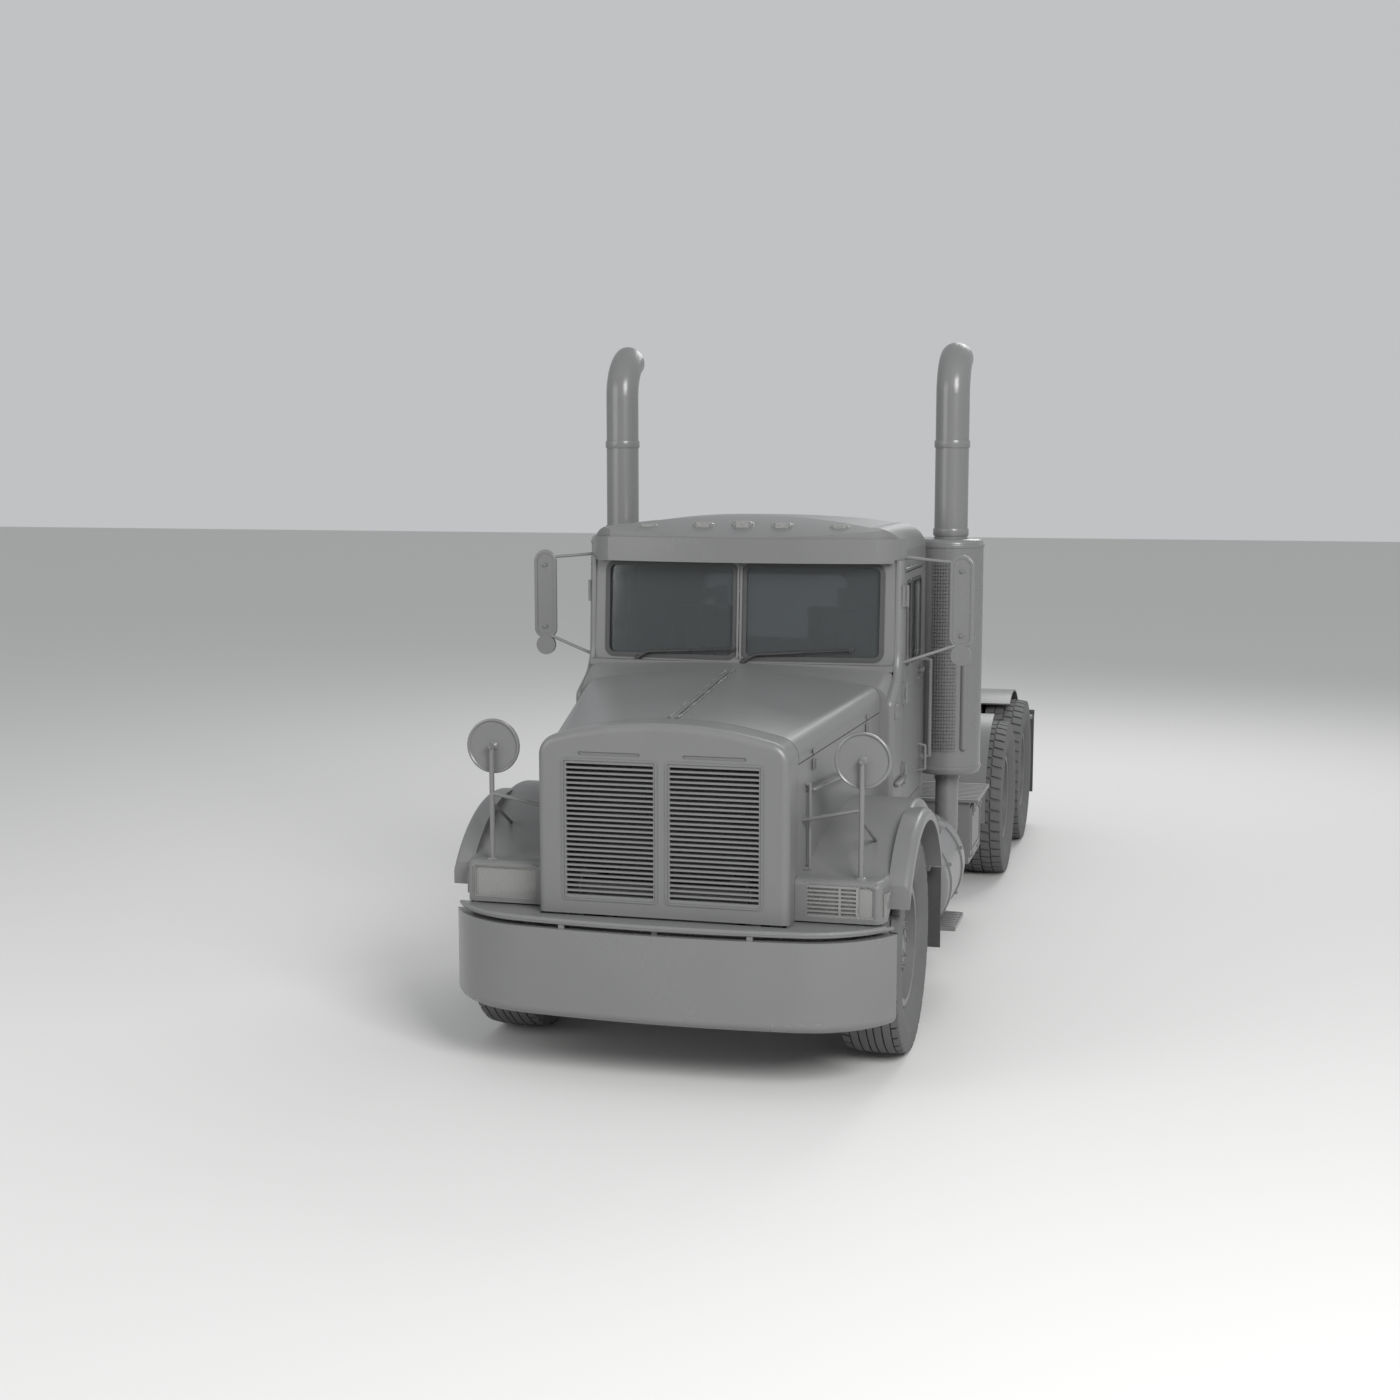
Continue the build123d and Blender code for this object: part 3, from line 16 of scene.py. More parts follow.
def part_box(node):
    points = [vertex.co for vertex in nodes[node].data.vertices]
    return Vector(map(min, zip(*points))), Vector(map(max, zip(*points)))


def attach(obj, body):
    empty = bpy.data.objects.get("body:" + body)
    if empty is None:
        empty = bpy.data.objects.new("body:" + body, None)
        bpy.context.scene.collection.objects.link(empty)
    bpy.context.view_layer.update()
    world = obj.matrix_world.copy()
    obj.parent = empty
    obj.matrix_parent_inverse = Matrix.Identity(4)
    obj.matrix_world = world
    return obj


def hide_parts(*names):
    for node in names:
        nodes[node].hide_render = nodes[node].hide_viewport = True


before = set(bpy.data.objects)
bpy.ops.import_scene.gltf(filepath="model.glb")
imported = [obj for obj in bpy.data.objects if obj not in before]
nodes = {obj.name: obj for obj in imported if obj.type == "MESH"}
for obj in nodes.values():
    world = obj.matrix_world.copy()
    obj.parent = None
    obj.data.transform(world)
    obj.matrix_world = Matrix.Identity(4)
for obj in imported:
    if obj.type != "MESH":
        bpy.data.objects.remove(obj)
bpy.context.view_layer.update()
tyre_low, tyre_high = (Vector(corner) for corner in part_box("tyre_front_left"))
axle_x = (tyre_low.x + tyre_high.x) / 2
axle_z = (tyre_low.z + tyre_high.z) / 2
sides = (("left", 1), ("right", -1))
axles = ("front", "drive_1", "drive_2")
print("CAD nodes", len(nodes), "front axle at", round(axle_x, 3), round(axle_z, 4))


def at(x):
    """A length from the front axle, as a place in the frame."""
    return axle_x + x


def point(x, y, z):
    """A point from its length from the front axle, its width from the middle and its height."""
    return Vector((at(x), y, z))


# %% [markdown]
# ## Colours and a node helper
#
# The whole truck is one family of greys, so each finish is written as an sRGB hex value and turned to
# linear light in one place. One small function adds a shader node, sets it and links it.

# %% Helpers for materials

gloss_spread = 0.06  # how far the roughness strays to each side
relief = 0.002  # metres that a full bump stands for
wave_mm = 314  # millimetres from band to band in Blender's wave texture at scale 1


def linear(code):
    """sRGB hex to linear RGBA."""
    parts = [int(code[i:i + 2], 16) / 255 for i in (1, 3, 5)]
    return (*[p / 12.92 if p <= 0.04045 else ((p + 0.055) / 1.055) ** 2.4 for p in parts], 1.0)


def add(tree, kind, inputs=None, **settings):
    """One shader node with its settings; an input is a value, or another node's output socket."""
    node = tree.nodes.new("ShaderNode" + kind)
    for name, value in settings.items():
        setattr(node, name, value)
    for name, value in (inputs or {}).items():
        if isinstance(value, bpy.types.NodeSocket):
            tree.links.new(value, node.inputs[name])
        else:
            node.inputs[name].default_value = value
    return node


def blank(name):
    """A material with only the object's coordinates in its node tree."""
    material = bpy.data.materials.new(name)
    material.use_nodes = True
    tree = material.node_tree
    tree.nodes.clear()
    return material, tree, add(tree, "TexCoord").outputs["Object"]


def surface(tree, height=None, depth=0.0, reach=relief, **sockets):
    """The principled shader that closes a tree, with a bump where a height is given."""
    if height:
        bump = add(tree, "Bump", {"Height": height, "Strength": depth, "Distance": reach})
        sockets["Normal"] = bump.outputs["Normal"]
    shader = add(tree, "BsdfPrincipled", sockets)
    add(tree, "OutputMaterial", {"Surface": shader.outputs["BSDF"]})


def speckled(name, deep, pale, grain, depth, rough, cloud_mm=450, **sockets):
    """A finish with cloudy colour, a fine relief of a given grain in millimetres and uneven gloss."""
    material, tree, where = blank(name)
    cloud = add(tree, "TexNoise", {"Vector": where, "Scale": 1000 / cloud_mm, "Detail": 6.0})
    tone = add(tree, "Mix", {
        "Factor": cloud.outputs["Fac"], "A": linear(deep), "B": linear(pale)}, data_type="RGBA")
    fine = add(tree, "TexNoise", {"Vector": where, "Scale": 1000 / grain, "Detail": 3.0})
    gloss = add(tree, "MapRange", {
        "Value": cloud.outputs["Fac"], "To Min": rough - gloss_spread, "To Max": rough + gloss_spread})
    surface(tree, fine.outputs["Fac"], depth, **{
        "Base Color": tone.outputs["Result"], "Roughness": gloss.outputs["Result"], **sockets})
    return material


# %% [markdown]
# ## Paint, iron, rubber and plastic
#
# Most of a truck is sprayed or cast, and such a surface is never flat: enamel has orange peel of 3 to 6 mm,
# sand casting leaves a coarse grain, and moulded rubber and plastic are stippled. All of them are the
# same build with other numbers, so one function makes them and each gets its own name and reason.

# %% Cast, sprayed and moulded finishes

# Two-pack satin enamel: an even mid grey with soft highlights and a faint orange peel.
satin_enamel = speckled("satin_enamel", "#6a6a6a", "#727272", 3.5, 0.05, 0.36)
# The same enamel baked on tube and pressed bumper steel, which is smoother and shows sharper glints.
stove_enamel = speckled("stove_enamel", "#6c6c6c", "#747474", 6.0, 0.03, 0.26)
# Chassis grey on sand-cast iron and rolled steel: coarse grain and little gloss.
cast_iron = speckled("painted_cast_iron", "#5a5a5a", "#686868", 6.0, 0.3, 0.58)
# Tyre rubber: moulded, matt, with a fine stipple and pale dust in clouds.
tyre_rubber = speckled("tyre_rubber", "#565656", "#646464", 2.5, 0.22, 0.78, cloud_mm=160)
# Extruded seal rubber: darker and smoother than the tyre.
seal_rubber = speckled("seal_rubber", "#3c3c3c", "#464646", 1.5, 0.1, 0.55, cloud_mm=80)
# ABS dashboard skin: leather-like grain of about 2 mm, dull.
dash_abs = speckled("grained_abs", "#4c4c4c", "#545454", 2.0, 0.35, 0.62)
# Powder-coated wiper steel: near black and dull, so that it doesn't flash in the driver's eyes.
wiper_black = speckled("wiper_black", "#303030", "#3a3a3a", 2.0, 0.08, 0.5, cloud_mm=80)
# Zinc-plated fasteners: metal with a dull bluish-grey film.
zinc_steel = speckled("zinc_plated_steel", "#7e8082", "#8c8e90", 1.2, 0.06, 0.38, cloud_mm=30, Metallic=0.75)

# %% [markdown]
# ## Glass, lenses and mirror silver
#
# Window glass is tinted and thin, so it lets some light through and mirrors the room at grazing angles. A
# lamp lens is pressed with flutes, which a wave pattern in the bump gives. A mirror is plain bright metal.

# %% Clear and silvered finishes


def glazing(name, code, pitch, depth, rough, **sockets):
    """A glassy finish with flutes of a given pitch in millimetres, or a slight waviness for a window."""
    material, tree, where = blank(name)
    flutes = add(tree, "TexWave", {
        "Vector": where, "Scale": wave_mm / pitch, "Distortion": 1.5}, bands_direction="Y")
    smear = add(tree, "TexNoise", {"Vector": where, "Scale": 9.0, "Detail": 5.0})
    gloss = add(tree, "MapRange", {
        "Value": smear.outputs["Fac"], "To Min": rough, "To Max": rough + 0.08})
    surface(tree, flutes.outputs["Fac"], depth, **{
        "Base Color": linear(code), "Roughness": gloss.outputs["Result"], **sockets})
    return material


# Grey tinted safety glass: dark from outside, with slow waves from rolling.
tinted_glass = glazing("tinted_glass", "#8c9294", 900, 0.02, 0.02,
                       **{"Transmission Weight": 0.88, "IOR": 1.5})
# Pressed lamp glass with 9 mm flutes, frosted grey by its reflector.
lamp_glass = glazing("pressed_lamp_glass", "#8a8a88", 9, 0.5, 0.08,
                     **{"Transmission Weight": 0.15, "IOR": 1.5})
# Silvered mirror glass: bright, and flat but for a trace of waviness.
mirror_silver = glazing("mirror_silver", "#c8cacc", 900, 0.01, 0.02, Metallic=1.0)

# %% [markdown]
# ## Tread plate, radiator core and seat cloth
#
# Three surfaces carry a regular pattern. Tread plate has raised bars crossing at right angles, a radiator
# has upright fins, and woven seat cloth has threads over and under. Two wave patterns are multiplied or
# taken at their larger value, and the pitch in millimetres sets their scale. On the radiator the colour is
# painted shade, darkest in the gaps between the fins.

# %% Patterned finishes

pattern_relief = 0.003  # metres that a full bump stands for in a pressed or woven pattern


def patterned(name, deep, pale, pitch, turns, join, depth, rough, **sockets):
    """Two bands at given turns about Z, joined, drive both the colour and the relief."""
    material, tree, where = blank(name)
    waves = []
    for turn, across in turns:
        spun = add(tree, "Mapping", {"Vector": where, "Rotation": (0, 0, radians(turn))})
        wave = add(tree, "TexWave", {
            "Vector": spun.outputs["Vector"], "Scale": wave_mm / pitch}, bands_direction=across)
        waves.append(wave.outputs["Fac"])
    both = add(tree, "Math", {0: waves[0], 1: waves[1]}, operation=join).outputs["Value"]
    tone = add(tree, "Mix", {
        "Factor": both, "A": linear(deep), "B": linear(pale)}, data_type="RGBA")
    surface(tree, both, depth, pattern_relief, **{
        "Base Color": tone.outputs["Result"], "Roughness": rough, **sockets})
    return material


# Rolled tread plate: bars about 40 mm apart both ways, worn bright on top.
tread_plate = patterned("tread_plate", "#646464", "#808080", 40, ((45, "X"), (-45, "X")), "MULTIPLY",
                        0.8, 0.42, Metallic=0.3)
# Radiator core: fins every 8 mm between tubes, drawn coarser than the real 2 mm so that they show. The core
# is painted darker than the panels and darkest in the gaps between the fins, as painted shade.
fins_with_painted_shade = patterned("radiator_fins_painted_shade", "#2e2e2e", "#565656", 8, ((0, "Y"), (0, "Z")), "MAXIMUM", 0.9, 0.6)
# Woven seat cloth: threads drawn at 5 mm, coarser than real ones so that they show.
seat_cloth = patterned("woven_seat_cloth", "#3e3e3e", "#585858", 5, ((0, "X"), (90, "X")), "MULTIPLY",
                       0.5, 0.9, **{"Sheen Weight": 0.3})

# %% [markdown]
# ## Paint on the CAD pieces
#
# In the works, whole groups of parts get one finish: iron is sprayed dull and dark, tube and pressings are
# baked, panels are sprayed satin. So each finish is listed with the pieces that get it, and every piece
# that isn't listed is panel work in satin enamel. Only the material slots change, never the CAD meshes.

# %% Paint the CAD pieces

finishes = {
    stove_enamel: ("front_bumper", "bumper_deck", "exhaust_pipes", "mufflers", "fender_mirrors",
                   "cab_mirrors", "sun_visor", "grille_bars", "fuel_tanks"),
    cast_iron: ("engine_block", "drive_axles", "front_axle", "springs_and_beams", "knuckle_left",
                "knuckle_right", "drive_shafts", "tie_rod", "fifth_wheel_plate", "fifth_wheel_stand",
                "frame_rails", "frame_crossmembers"),
    tinted_glass: ("cab_glass", "door_glass_left", "door_glass_right"),
    lamp_glass: ("headlamps", "marker_lamps"),
    fins_with_painted_shade: ("radiator",),
    seal_rubber: ("mud_flaps",),
    dash_abs: ("dashboard", "steering_wheel"),
    tread_plate: ("deck_plate",),
}
finish_of = {name: finish for finish, names in finishes.items() for name in names}
for name, node in nodes.items():
    node.data.materials.clear()
    node.data.materials.append(finish_of.get(name, satin_enamel))
print("painted", len(nodes), "CAD pieces")

# %% [markdown]
# ## Small makers' helpers
#
# A few short functions stand for the workshop: a bar between two points, a block with eased edges, a bolt
# head, a rounded frame, a turned profile. Each one adds to a bmesh, and one last function turns the bmesh
# into an object that rides on a body.

# %% Helpers for meshes

crease = radians(35)  # edges sharper than this stay sharp

def turned(direction):
    """A rotation that lays Z along a direction."""
    return Vector(direction).to_track_quat("Z", "Y").to_matrix().to_4x4()


def bar(bm, start, end, radius, sides=12, taper=1.0):
    """A round bar, or a cone, between two points."""
    a, b = Vector(start), Vector(end)
    place = Matrix.Translation((a + b) / 2) @ turned(b - a)
    ops.create_cone(bm, cap_ends=True, segments=sides, radius1=radius, radius2=radius * taper,
                          depth=(b - a).length, matrix=place)


def rail(bm, points, radius, sides=10):
    """A bent bar: straight runs with a ball at each bend."""
    for a, b in zip(points, points[1:]):
        bar(bm, a, b, radius, sides)
    for bend in points[1:-1]:
        ops.create_uvsphere(bm, u_segments=sides, v_segments=6, radius=radius * 1.02,
                                  matrix=Matrix.Translation(bend))


def brick(bm, low, high, edge=0.004, segments=2):
    """A block between two corners, with eased edges."""
    low, high = Vector(low), Vector(high)
    place = Matrix.Translation((low + high) / 2) @ Matrix.Diagonal((*(high - low), 1))
    verts = ops.create_cube(bm, size=1, matrix=place)["verts"]
    edges = list({e for v in verts for e in v.link_edges})
    ops.bevel(bm, geom=edges, offset=edge, affect="EDGES", segments=segments, profile=0.5, material=-1)


def side_brick(bm, sign, low, high, edge=0.004, segments=2):
    """A block on one side: lengths from the front axle, widths from the middle, heights."""
    ys = sorted((sign * low[1], sign * high[1]))
    brick(bm, point(low[0], ys[0], low[2]), point(high[0], ys[1], high[2]), edge, segments)


def bolt(bm, place, axis, size):
    """A hexagon head of a given width on its washer."""
    place, axis = Vector(place), Vector(axis).normalized()
    bar(bm, place, place + axis * size * 0.15, size * 0.72, 12)
    bar(bm, place + axis * size * 0.1, place + axis * size * 0.65, size * 0.5, 6, 0.94)


def lathe(bm, profile, centre, axis, steps=32):
    """A profile of (radius, height) points turned about an axis into a closed body or a closed ring."""
    points = list(profile)
    if points[0][0] and not points[-1][0]:
        points.insert(0, (0.0, points[0][1]))
    if points[-1][0] and not points[0][0]:
        points.append((0.0, points[-1][1]))
    before = set(bm.verts)
    verts = [bm.verts.new((r, 0, h)) for r, h in points]
    pairs = list(zip(verts, verts[1:]))
    if points[0][0]:
        pairs.append((verts[-1], verts[0]))
    edges = [bm.edges.new(pair) for pair in pairs]
    ops.spin(bm, geom=verts + edges, cent=(0, 0, 0), axis=(0, 0, 1), angle=2 * pi, steps=steps,
                   use_merge=True)
    spun = [v for v in bm.verts if v not in before]
    ops.transform(bm, matrix=Matrix.Translation(centre) @ turned(axis), verts=spun)


def round_panel(bm, size, corner, place, thick, band=0.0, steps=5):
    """A rounded panel, or with a band a rounded frame, from local XY pushed up local Z and then placed."""
    verts = ops.create_grid(bm, x_segments=1, y_segments=1, size=0.5)["verts"]
    ops.scale(bm, vec=(size[0], size[1], 1), verts=verts)
    made = ops.bevel(bm, geom=verts, offset=corner, affect="VERTICES", segments=steps, profile=0.5,
                           material=-1)
    face = max((f for v in made["verts"] for f in v.link_faces), key=lambda f: f.calc_area())
    faces = [face]
    if band:
        faces = ops.inset_region(bm, faces=[face], thickness=band, use_boundary=True,
                                       use_even_offset=True)["faces"]
        ops.delete(bm, geom=[face], context="FACES_ONLY")
    flat = list({v for f in faces for v in f.verts})
    pushed = ops.extrude_face_region(bm, geom=faces)["geom"]
    raised = [item for item in pushed if isinstance(item, bmesh.types.BMVert)]
    ops.translate(bm, vec=(0, 0, thick), verts=raised)
    ops.transform(bm, matrix=place, verts=flat + raised)


def wall_place(x, y, z, sign):
    """For a panel on one side: local X along the truck's length, local Y up, local Z out."""
    return Matrix(((1, 0, 0, at(x)), (0, 0, sign, sign * y), (0, 1, 0, z), (0, 0, 0, 1)))


def end_place(x, y, z, out):
    """For a panel facing forward (out 1) or back (-1): local X across, local Y up, local Z out."""
    return Matrix(((0, 0, out, at(x)), (1, 0, 0, y), (0, 1, 0, z), (0, 0, 0, 1)))


def loose(name, bm):
    """A bmesh as an object that doesn't ride on a body yet."""
    mesh = bpy.data.meshes.new(name)
    bm.to_mesh(mesh)
    bm.free()
    made = bpy.data.objects.new(name, mesh)
    bpy.context.collection.objects.link(made)
    return made


def piece(name, bm, material, body):
    """A finished bmesh as an object that rides on a body."""
    ops.remove_doubles(bm, verts=bm.verts, dist=1e-6)
    ops.recalc_face_normals(bm, faces=bm.faces)
    made = loose(name, bm)
    made.data.materials.append(material)
    made.data.shade_smooth()
    made.data.set_sharp_from_angle(angle=crease)
    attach(made, body)
    print(name, "has", len(made.data.polygons), "faces")
    return made


def fitting(name, bm, material=stove_enamel, body="chassis"):
    """A small painted part."""
    piece(name, bm, material, body)


# %% [markdown]
# ## Treaded tyres
#
# The CAD tyre is a plain ring. A real carcass is spun from one section, and the tread is what stands up from
# it: the steering tyres have ribs with notched shoulders, the driven ones have lugs. So the section is spun,
# the faces that carry rubber are picked by their place and extruded together, and the tops are scaled out
# to the tyre's full radius. A lean across the width makes the lugs point forward.

# %% Tyre section and tread

tyre_radius, tyre_width = axle_z, 0.315
groove = 0.0155
carcass = tyre_radius - groove
shoulder, crown_drop = 0.143, 0.01  # half width of the crown, and how far it falls to there
tread_zone, lean_zone = 0.035, 0.03  # how deep under the carcass's crown faces and points count as tread
# half of the section, as (width from the middle, radius)
sidewall = ((0.1, 0.301), (0.1035, 0.322), (0.113, 0.336), (0.127, 0.346), (0.131, 0.356), (0.146, 0.388),
            (0.1545, 0.428), (0.1565, 0.452), (0.1575, 0.456), (0.1565, 0.462), (0.1555, 0.492),
            (0.153, 0.52))
# widths at which the tread is cut into columns
rib_columns = (0.149, shoulder, 0.112, 0.104, 0.066, 0.058, 0.022, 0.014)
lug_columns = (0.149, shoulder, 0.122, 0.078, 0.068, 0.036, 0.006)
rib_bands = ((0.066, 0.104), (0.022, 0.058), (0.0, 0.014))
lug_groove, lug_slit = (0.068, 0.078), 0.006
pitch_steps = 4  # steps round the tyre from one notch or lug to the next


def tread_tyre(bm, columns, is_raised, steps, lean, middle):
    """One tyre about a middle point, axle along Y."""
    half = [*sidewall, *((y, carcass - crown_drop * (y / shoulder) ** 3) for y in columns)]
    line = half + [(-y, r) for y, r in reversed(half)]
    verts = [bm.verts.new((r, y, 0)) for y, r in line]
    edges = [bm.edges.new(pair) for pair in zip(verts, [*verts[1:], verts[0]])]
    before = set(bm.faces)
    ops.spin(bm, geom=verts + edges, cent=(0, 0, 0), axis=(0, 1, 0), angle=2 * pi, steps=steps,
                   use_merge=True)
    raised = []
    for face in bm.faces:
        c = face.calc_center_median()
        if face not in before and hypot(c.x, c.z) > carcass - tread_zone and abs(c.y) < columns[0]:
            sector = int((atan2(c.z, c.x) % (2 * pi)) / (2 * pi / steps))
            if is_raised(sector, c.y):
                raised.append(face)
    lifted = ops.extrude_face_region(bm, geom=raised)["geom"]
    ops.delete(bm, geom=raised, context="FACES")
    tops = [item for item in lifted if isinstance(item, bmesh.types.BMVert)]
    grow = tyre_radius / carcass
    ops.scale(bm, vec=(grow, 1, grow), verts=tops)
    whole = list({v for f in bm.faces if f not in before for v in f.verts})
    for vert in whole:
        if hypot(vert.co.x, vert.co.z) > carcass - lean_zone:
            vert.co = Matrix.Rotation(lean * abs(vert.co.y), 3, "Y") @ vert.co
    ops.translate(bm, vec=middle, verts=whole)


def rib(sector, y):
    """Five plain ribs, and shoulders cut by a notch at every fourth step."""
    width = abs(y)
    if width > rib_columns[2]:
        return sector % pitch_steps != 0
    return any(low <= width < high for low, high in rib_bands)


def lug(sector, y):
    """Two rows of lugs on each side, each row a step behind its neighbour."""
    width = abs(y)
    if lug_groove[0] < width < lug_groove[1] or width < lug_slit:
        return False
    row = (0 if width > lug_groove[1] else 1) + (0 if y > 0 else 2)
    return (sector + row) % pitch_steps > 0


# tyres on a side, tread and its columns, steps round the tyre, lean in radians per metre of width
front_tyre, drive_tyre = (1, rib, rib_columns, 160, 0.0), (2, lug, lug_columns, 176, 0.35)
for name in axles:
    count, pattern, columns, steps, lean = front_tyre if name == "front" else drive_tyre
    for side, _ in sides:
        low, high = (Vector(corner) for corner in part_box(f"tyre_{name}_{side}"))
        bm = bmesh.new()
        for y in (low.y + tyre_width / 2, high.y - tyre_width / 2)[:count]:
            tread_tyre(bm, columns, pattern, steps, lean, ((low.x + high.x) / 2, y, axle_z))
        tyre = piece(f"treaded_tyre_{name}_{side}", bm, tyre_rubber, f"wheel_{name}_{side}")
        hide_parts(f"tyre_{name}_{side}")

# %% [markdown]
# ## Wheel nuts, hub caps and valve
#
# Ten nuts hold each disc, and the hub's mouth is closed by a bolted cap. One nut is made and spun into ten
# copies, because the spin operator can duplicate instead of sweeping.

# %% Nuts and caps


def nut_circle(bm, centre, out, radius, size, count):
    """Nuts on a circle about the axle, with their studs standing out of them."""
    before = set(bm.verts)
    first = Vector(centre) + Vector((radius, 0, 0))
    bolt(bm, first, (0, out, 0), size)
    bar(bm, first, first + Vector((0, out * size * 1.05, 0)), size * 0.26, 8, 0.8)
    fresh = [v for v in bm.verts if v not in before]
    edges = {e for v in fresh for e in v.link_edges}
    faces = {f for v in fresh for f in v.link_faces}
    ops.spin(bm, geom=[*fresh, *edges, *faces], cent=centre, axis=(0, 1, 0),
                   angle=2 * pi * (count - 1) / count, steps=count - 1, use_duplicate=True)


hub_cap = ((0.0, 0.012), (0.03, 0.012), (0.036, 0.006), (0.06, 0.004), (0.066, -0.004), (0.083, -0.008),
           (0.083, -0.03))
cap_sink = 0.006
cap_circle, cap_bolt, cap_bolts = 0.103, 0.018, 8
nut_size, nut_count = 0.036, 10
valve_foot, valve_tip, valve_out, valve_radius = 0.27, 0.262, 0.06, 0.006
# Y of the disc's face, Y of the hub's end, nut circle radius
front_wheel, drive_wheel = (1.043, 1.077, 0.151), (0.865, 1.0, 0.153)
for name in axles:
    disc_y, hub_y, circle = front_wheel if name == "front" else drive_wheel
    low, high = (Vector(corner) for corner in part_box(f"wheel_{name}_left"))
    x = (low.x + high.x) / 2
    for side, sign in sides:
        bm = bmesh.new()
        nut_circle(bm, (x, sign * disc_y, axle_z), sign, circle, nut_size, nut_count)
        nut_circle(bm, (x, sign * hub_y, axle_z), sign, cap_circle, cap_bolt, cap_bolts)
        lathe(bm, hub_cap, (x, sign * (hub_y - cap_sink), axle_z), (0, sign, 0))
        bar(bm, (x + valve_foot, sign * disc_y, axle_z), (x + valve_tip, sign * (disc_y + valve_out), axle_z),
            valve_radius, 8)
        fitting(f"wheel_nuts_{name}_{side}", bm, zinc_steel, f"wheel_{name}_{side}")

# %% [markdown]
# ## Window seals and the windscreen post
#
# Each pane sits in a rubber seal that shows as a soft double line. A rounded frame is inset and pushed out,
# then placed by a matrix. The windscreen's halves lean back and sweep away from the middle, which is only a
# shear, so the same flat frame fits them.

# %% Seals

screen_mid, screen_sweep, screen_lean = -0.785, 0.08 / 0.88, 0.04 / 0.585
screen_foot = 1.945
pane_inner, pane_outer, pane_tall, pane_corner, pane_z = 0.026, 0.806, 0.53, 0.045, 2.233
rear_wall = -1.76


def screen_x(y, z):
    """The outer face of the windscreen frame."""
    return at(screen_mid - screen_sweep * abs(y) - screen_lean * (z - screen_foot))


def screen_place(y, z, out):
    """Local X along the truck's width, local Y up the screen, local Z out of it."""
    sweep = -screen_sweep if y > 0 else screen_sweep
    return Matrix(((sweep, -screen_lean, 1, screen_x(y, z) + out), (1, 0, 0, y), (0, 1, 0, z), (0, 0, 0, 1)))


# a low, wide lip and a narrower one that stands higher: growth over the pane, band, height, start
seal_lips = ((0.026, 0.02, 0.005, -0.001), (0.01, 0.019, 0.009, -0.004))
bm = bmesh.new()
for sign in (1, -1):
    place_y = sign * (pane_inner + pane_outer) / 2
    for grow, band, thick, out in seal_lips:
        size = (pane_outer - pane_inner + grow, pane_tall + grow)
        round_panel(bm, size, pane_corner + grow / 2, screen_place(place_y, pane_z, out), thick, band)
piece("windscreen_seals", bm, seal_rubber, "chassis")

bm = bmesh.new()
for y in (-0.0085, 0.0085):
    round_panel(bm, (0.012, pane_tall), 0.005, screen_place(y, pane_z, 0.0), 0.01, 0, 3)
for z in (1.99, 2.17, 2.35, 2.48):
    bolt(bm, (screen_x(0, z), 0, z), (1, 0, 0), 0.014)
fitting("windscreen_post_strips", bm)

bm = bmesh.new()
round_panel(bm, (0.92, 0.43), 0.068, end_place(rear_wall, 0, 2.195, -1), 0.006, 0.022)
piece("rear_window_seal", bm, seal_rubber, "chassis")

# length from the front axle to the middle, and width, of each light in a door
door_lights = ((-1.381, 0.386), (-1.091, 0.15))
for side, sign in sides:
    bm = bmesh.new()
    for x, width in door_lights:
        round_panel(bm, (width + 0.016, 0.491), 0.056, wall_place(x, 0.9195, 2.1675, sign), 0.005, 0.018)
    piece(f"door_light_seals_{side}", bm, seal_rubber, f"door_{side}")

# %% [markdown]
# ## Wipers
#
# Two wipers park low on the glass and point to the truck's left. Each has a pivot cap on the sill, a bent
# arm, and a blade carrier that ends in a block and has a rubber under it.

# %% Wipers

# pivot, elbow, blade start and blade end as (Y, Z) on the windscreen
wipers = (((-0.61, 1.952), (-0.545, 1.99), (-0.56, 1.988), (-0.03, 2.022)),
          ((0.03, 1.952), (0.1, 1.992), (0.085, 1.99), (0.64, 2.026)))
pivot_cap = ((0.0, 0.03), (0.01, 0.029), (0.016, 0.022), (0.018, 0.0))
lift = Vector((0.024, 0, 0))  # how far the arm stands off the glass
tip_half = Vector((0.008, 0.014, 0.012))
bm = bmesh.new()
rubber = bmesh.new()
for wiper in wipers:
    pivot, elbow, start, end = (Vector((screen_x(y, z), y, z)) for y, z in wiper)
    lathe(bm, pivot_cap, pivot, (1, 0, 0), 16)
    rail(bm, [pivot + lift, elbow + lift, (start + end) / 2 + lift], 0.008, 8)
    bar(bm, start + lift * 0.62, end + lift * 0.62, 0.007, 6)
    tip = end + lift * 0.7
    brick(bm, tip - tip_half, tip + tip_half, 0.003)
    for share in (0.2, 0.5, 0.8):
        claw = start.lerp(end, share)
        bar(bm, claw + lift * 0.4, claw + lift, 0.008, 8)
    bar(rubber, start + lift * 0.28, end + lift * 0.28, 0.005, 6)
fitting("wiper_arms", bm, wiper_black)
piece("wiper_rubbers", rubber, seal_rubber, "chassis")

# %% [markdown]
# ## Hood and cowl fittings
#
# The hood halves are held at the seam by draw latches, a hand rail and an upright bar stand on each hood
# side, and the cowl side has a small louvred vent. The catch rides on the hood half and the latch below it
# stays put.

# %% Hood fittings

hood_front, hood_length = 0.62, 1.22
rail_z, rail_ends = 1.46, (0.5, 0.02)
upright_x, upright_z = 0.525, (1.06, 1.49)
vent_x, vent_pitch, vent_slats = -0.65, 0.018, 6


def hood_half(x):
    """Half width of the hood side at a length from the front axle."""
    return 0.645 + (hood_front - x) / hood_length * 0.2


def seam_height(x):
    """Height of the seam between a hood half and the fixed side below it."""
    return 1.605 + (hood_front - x) / hood_length * 0.11


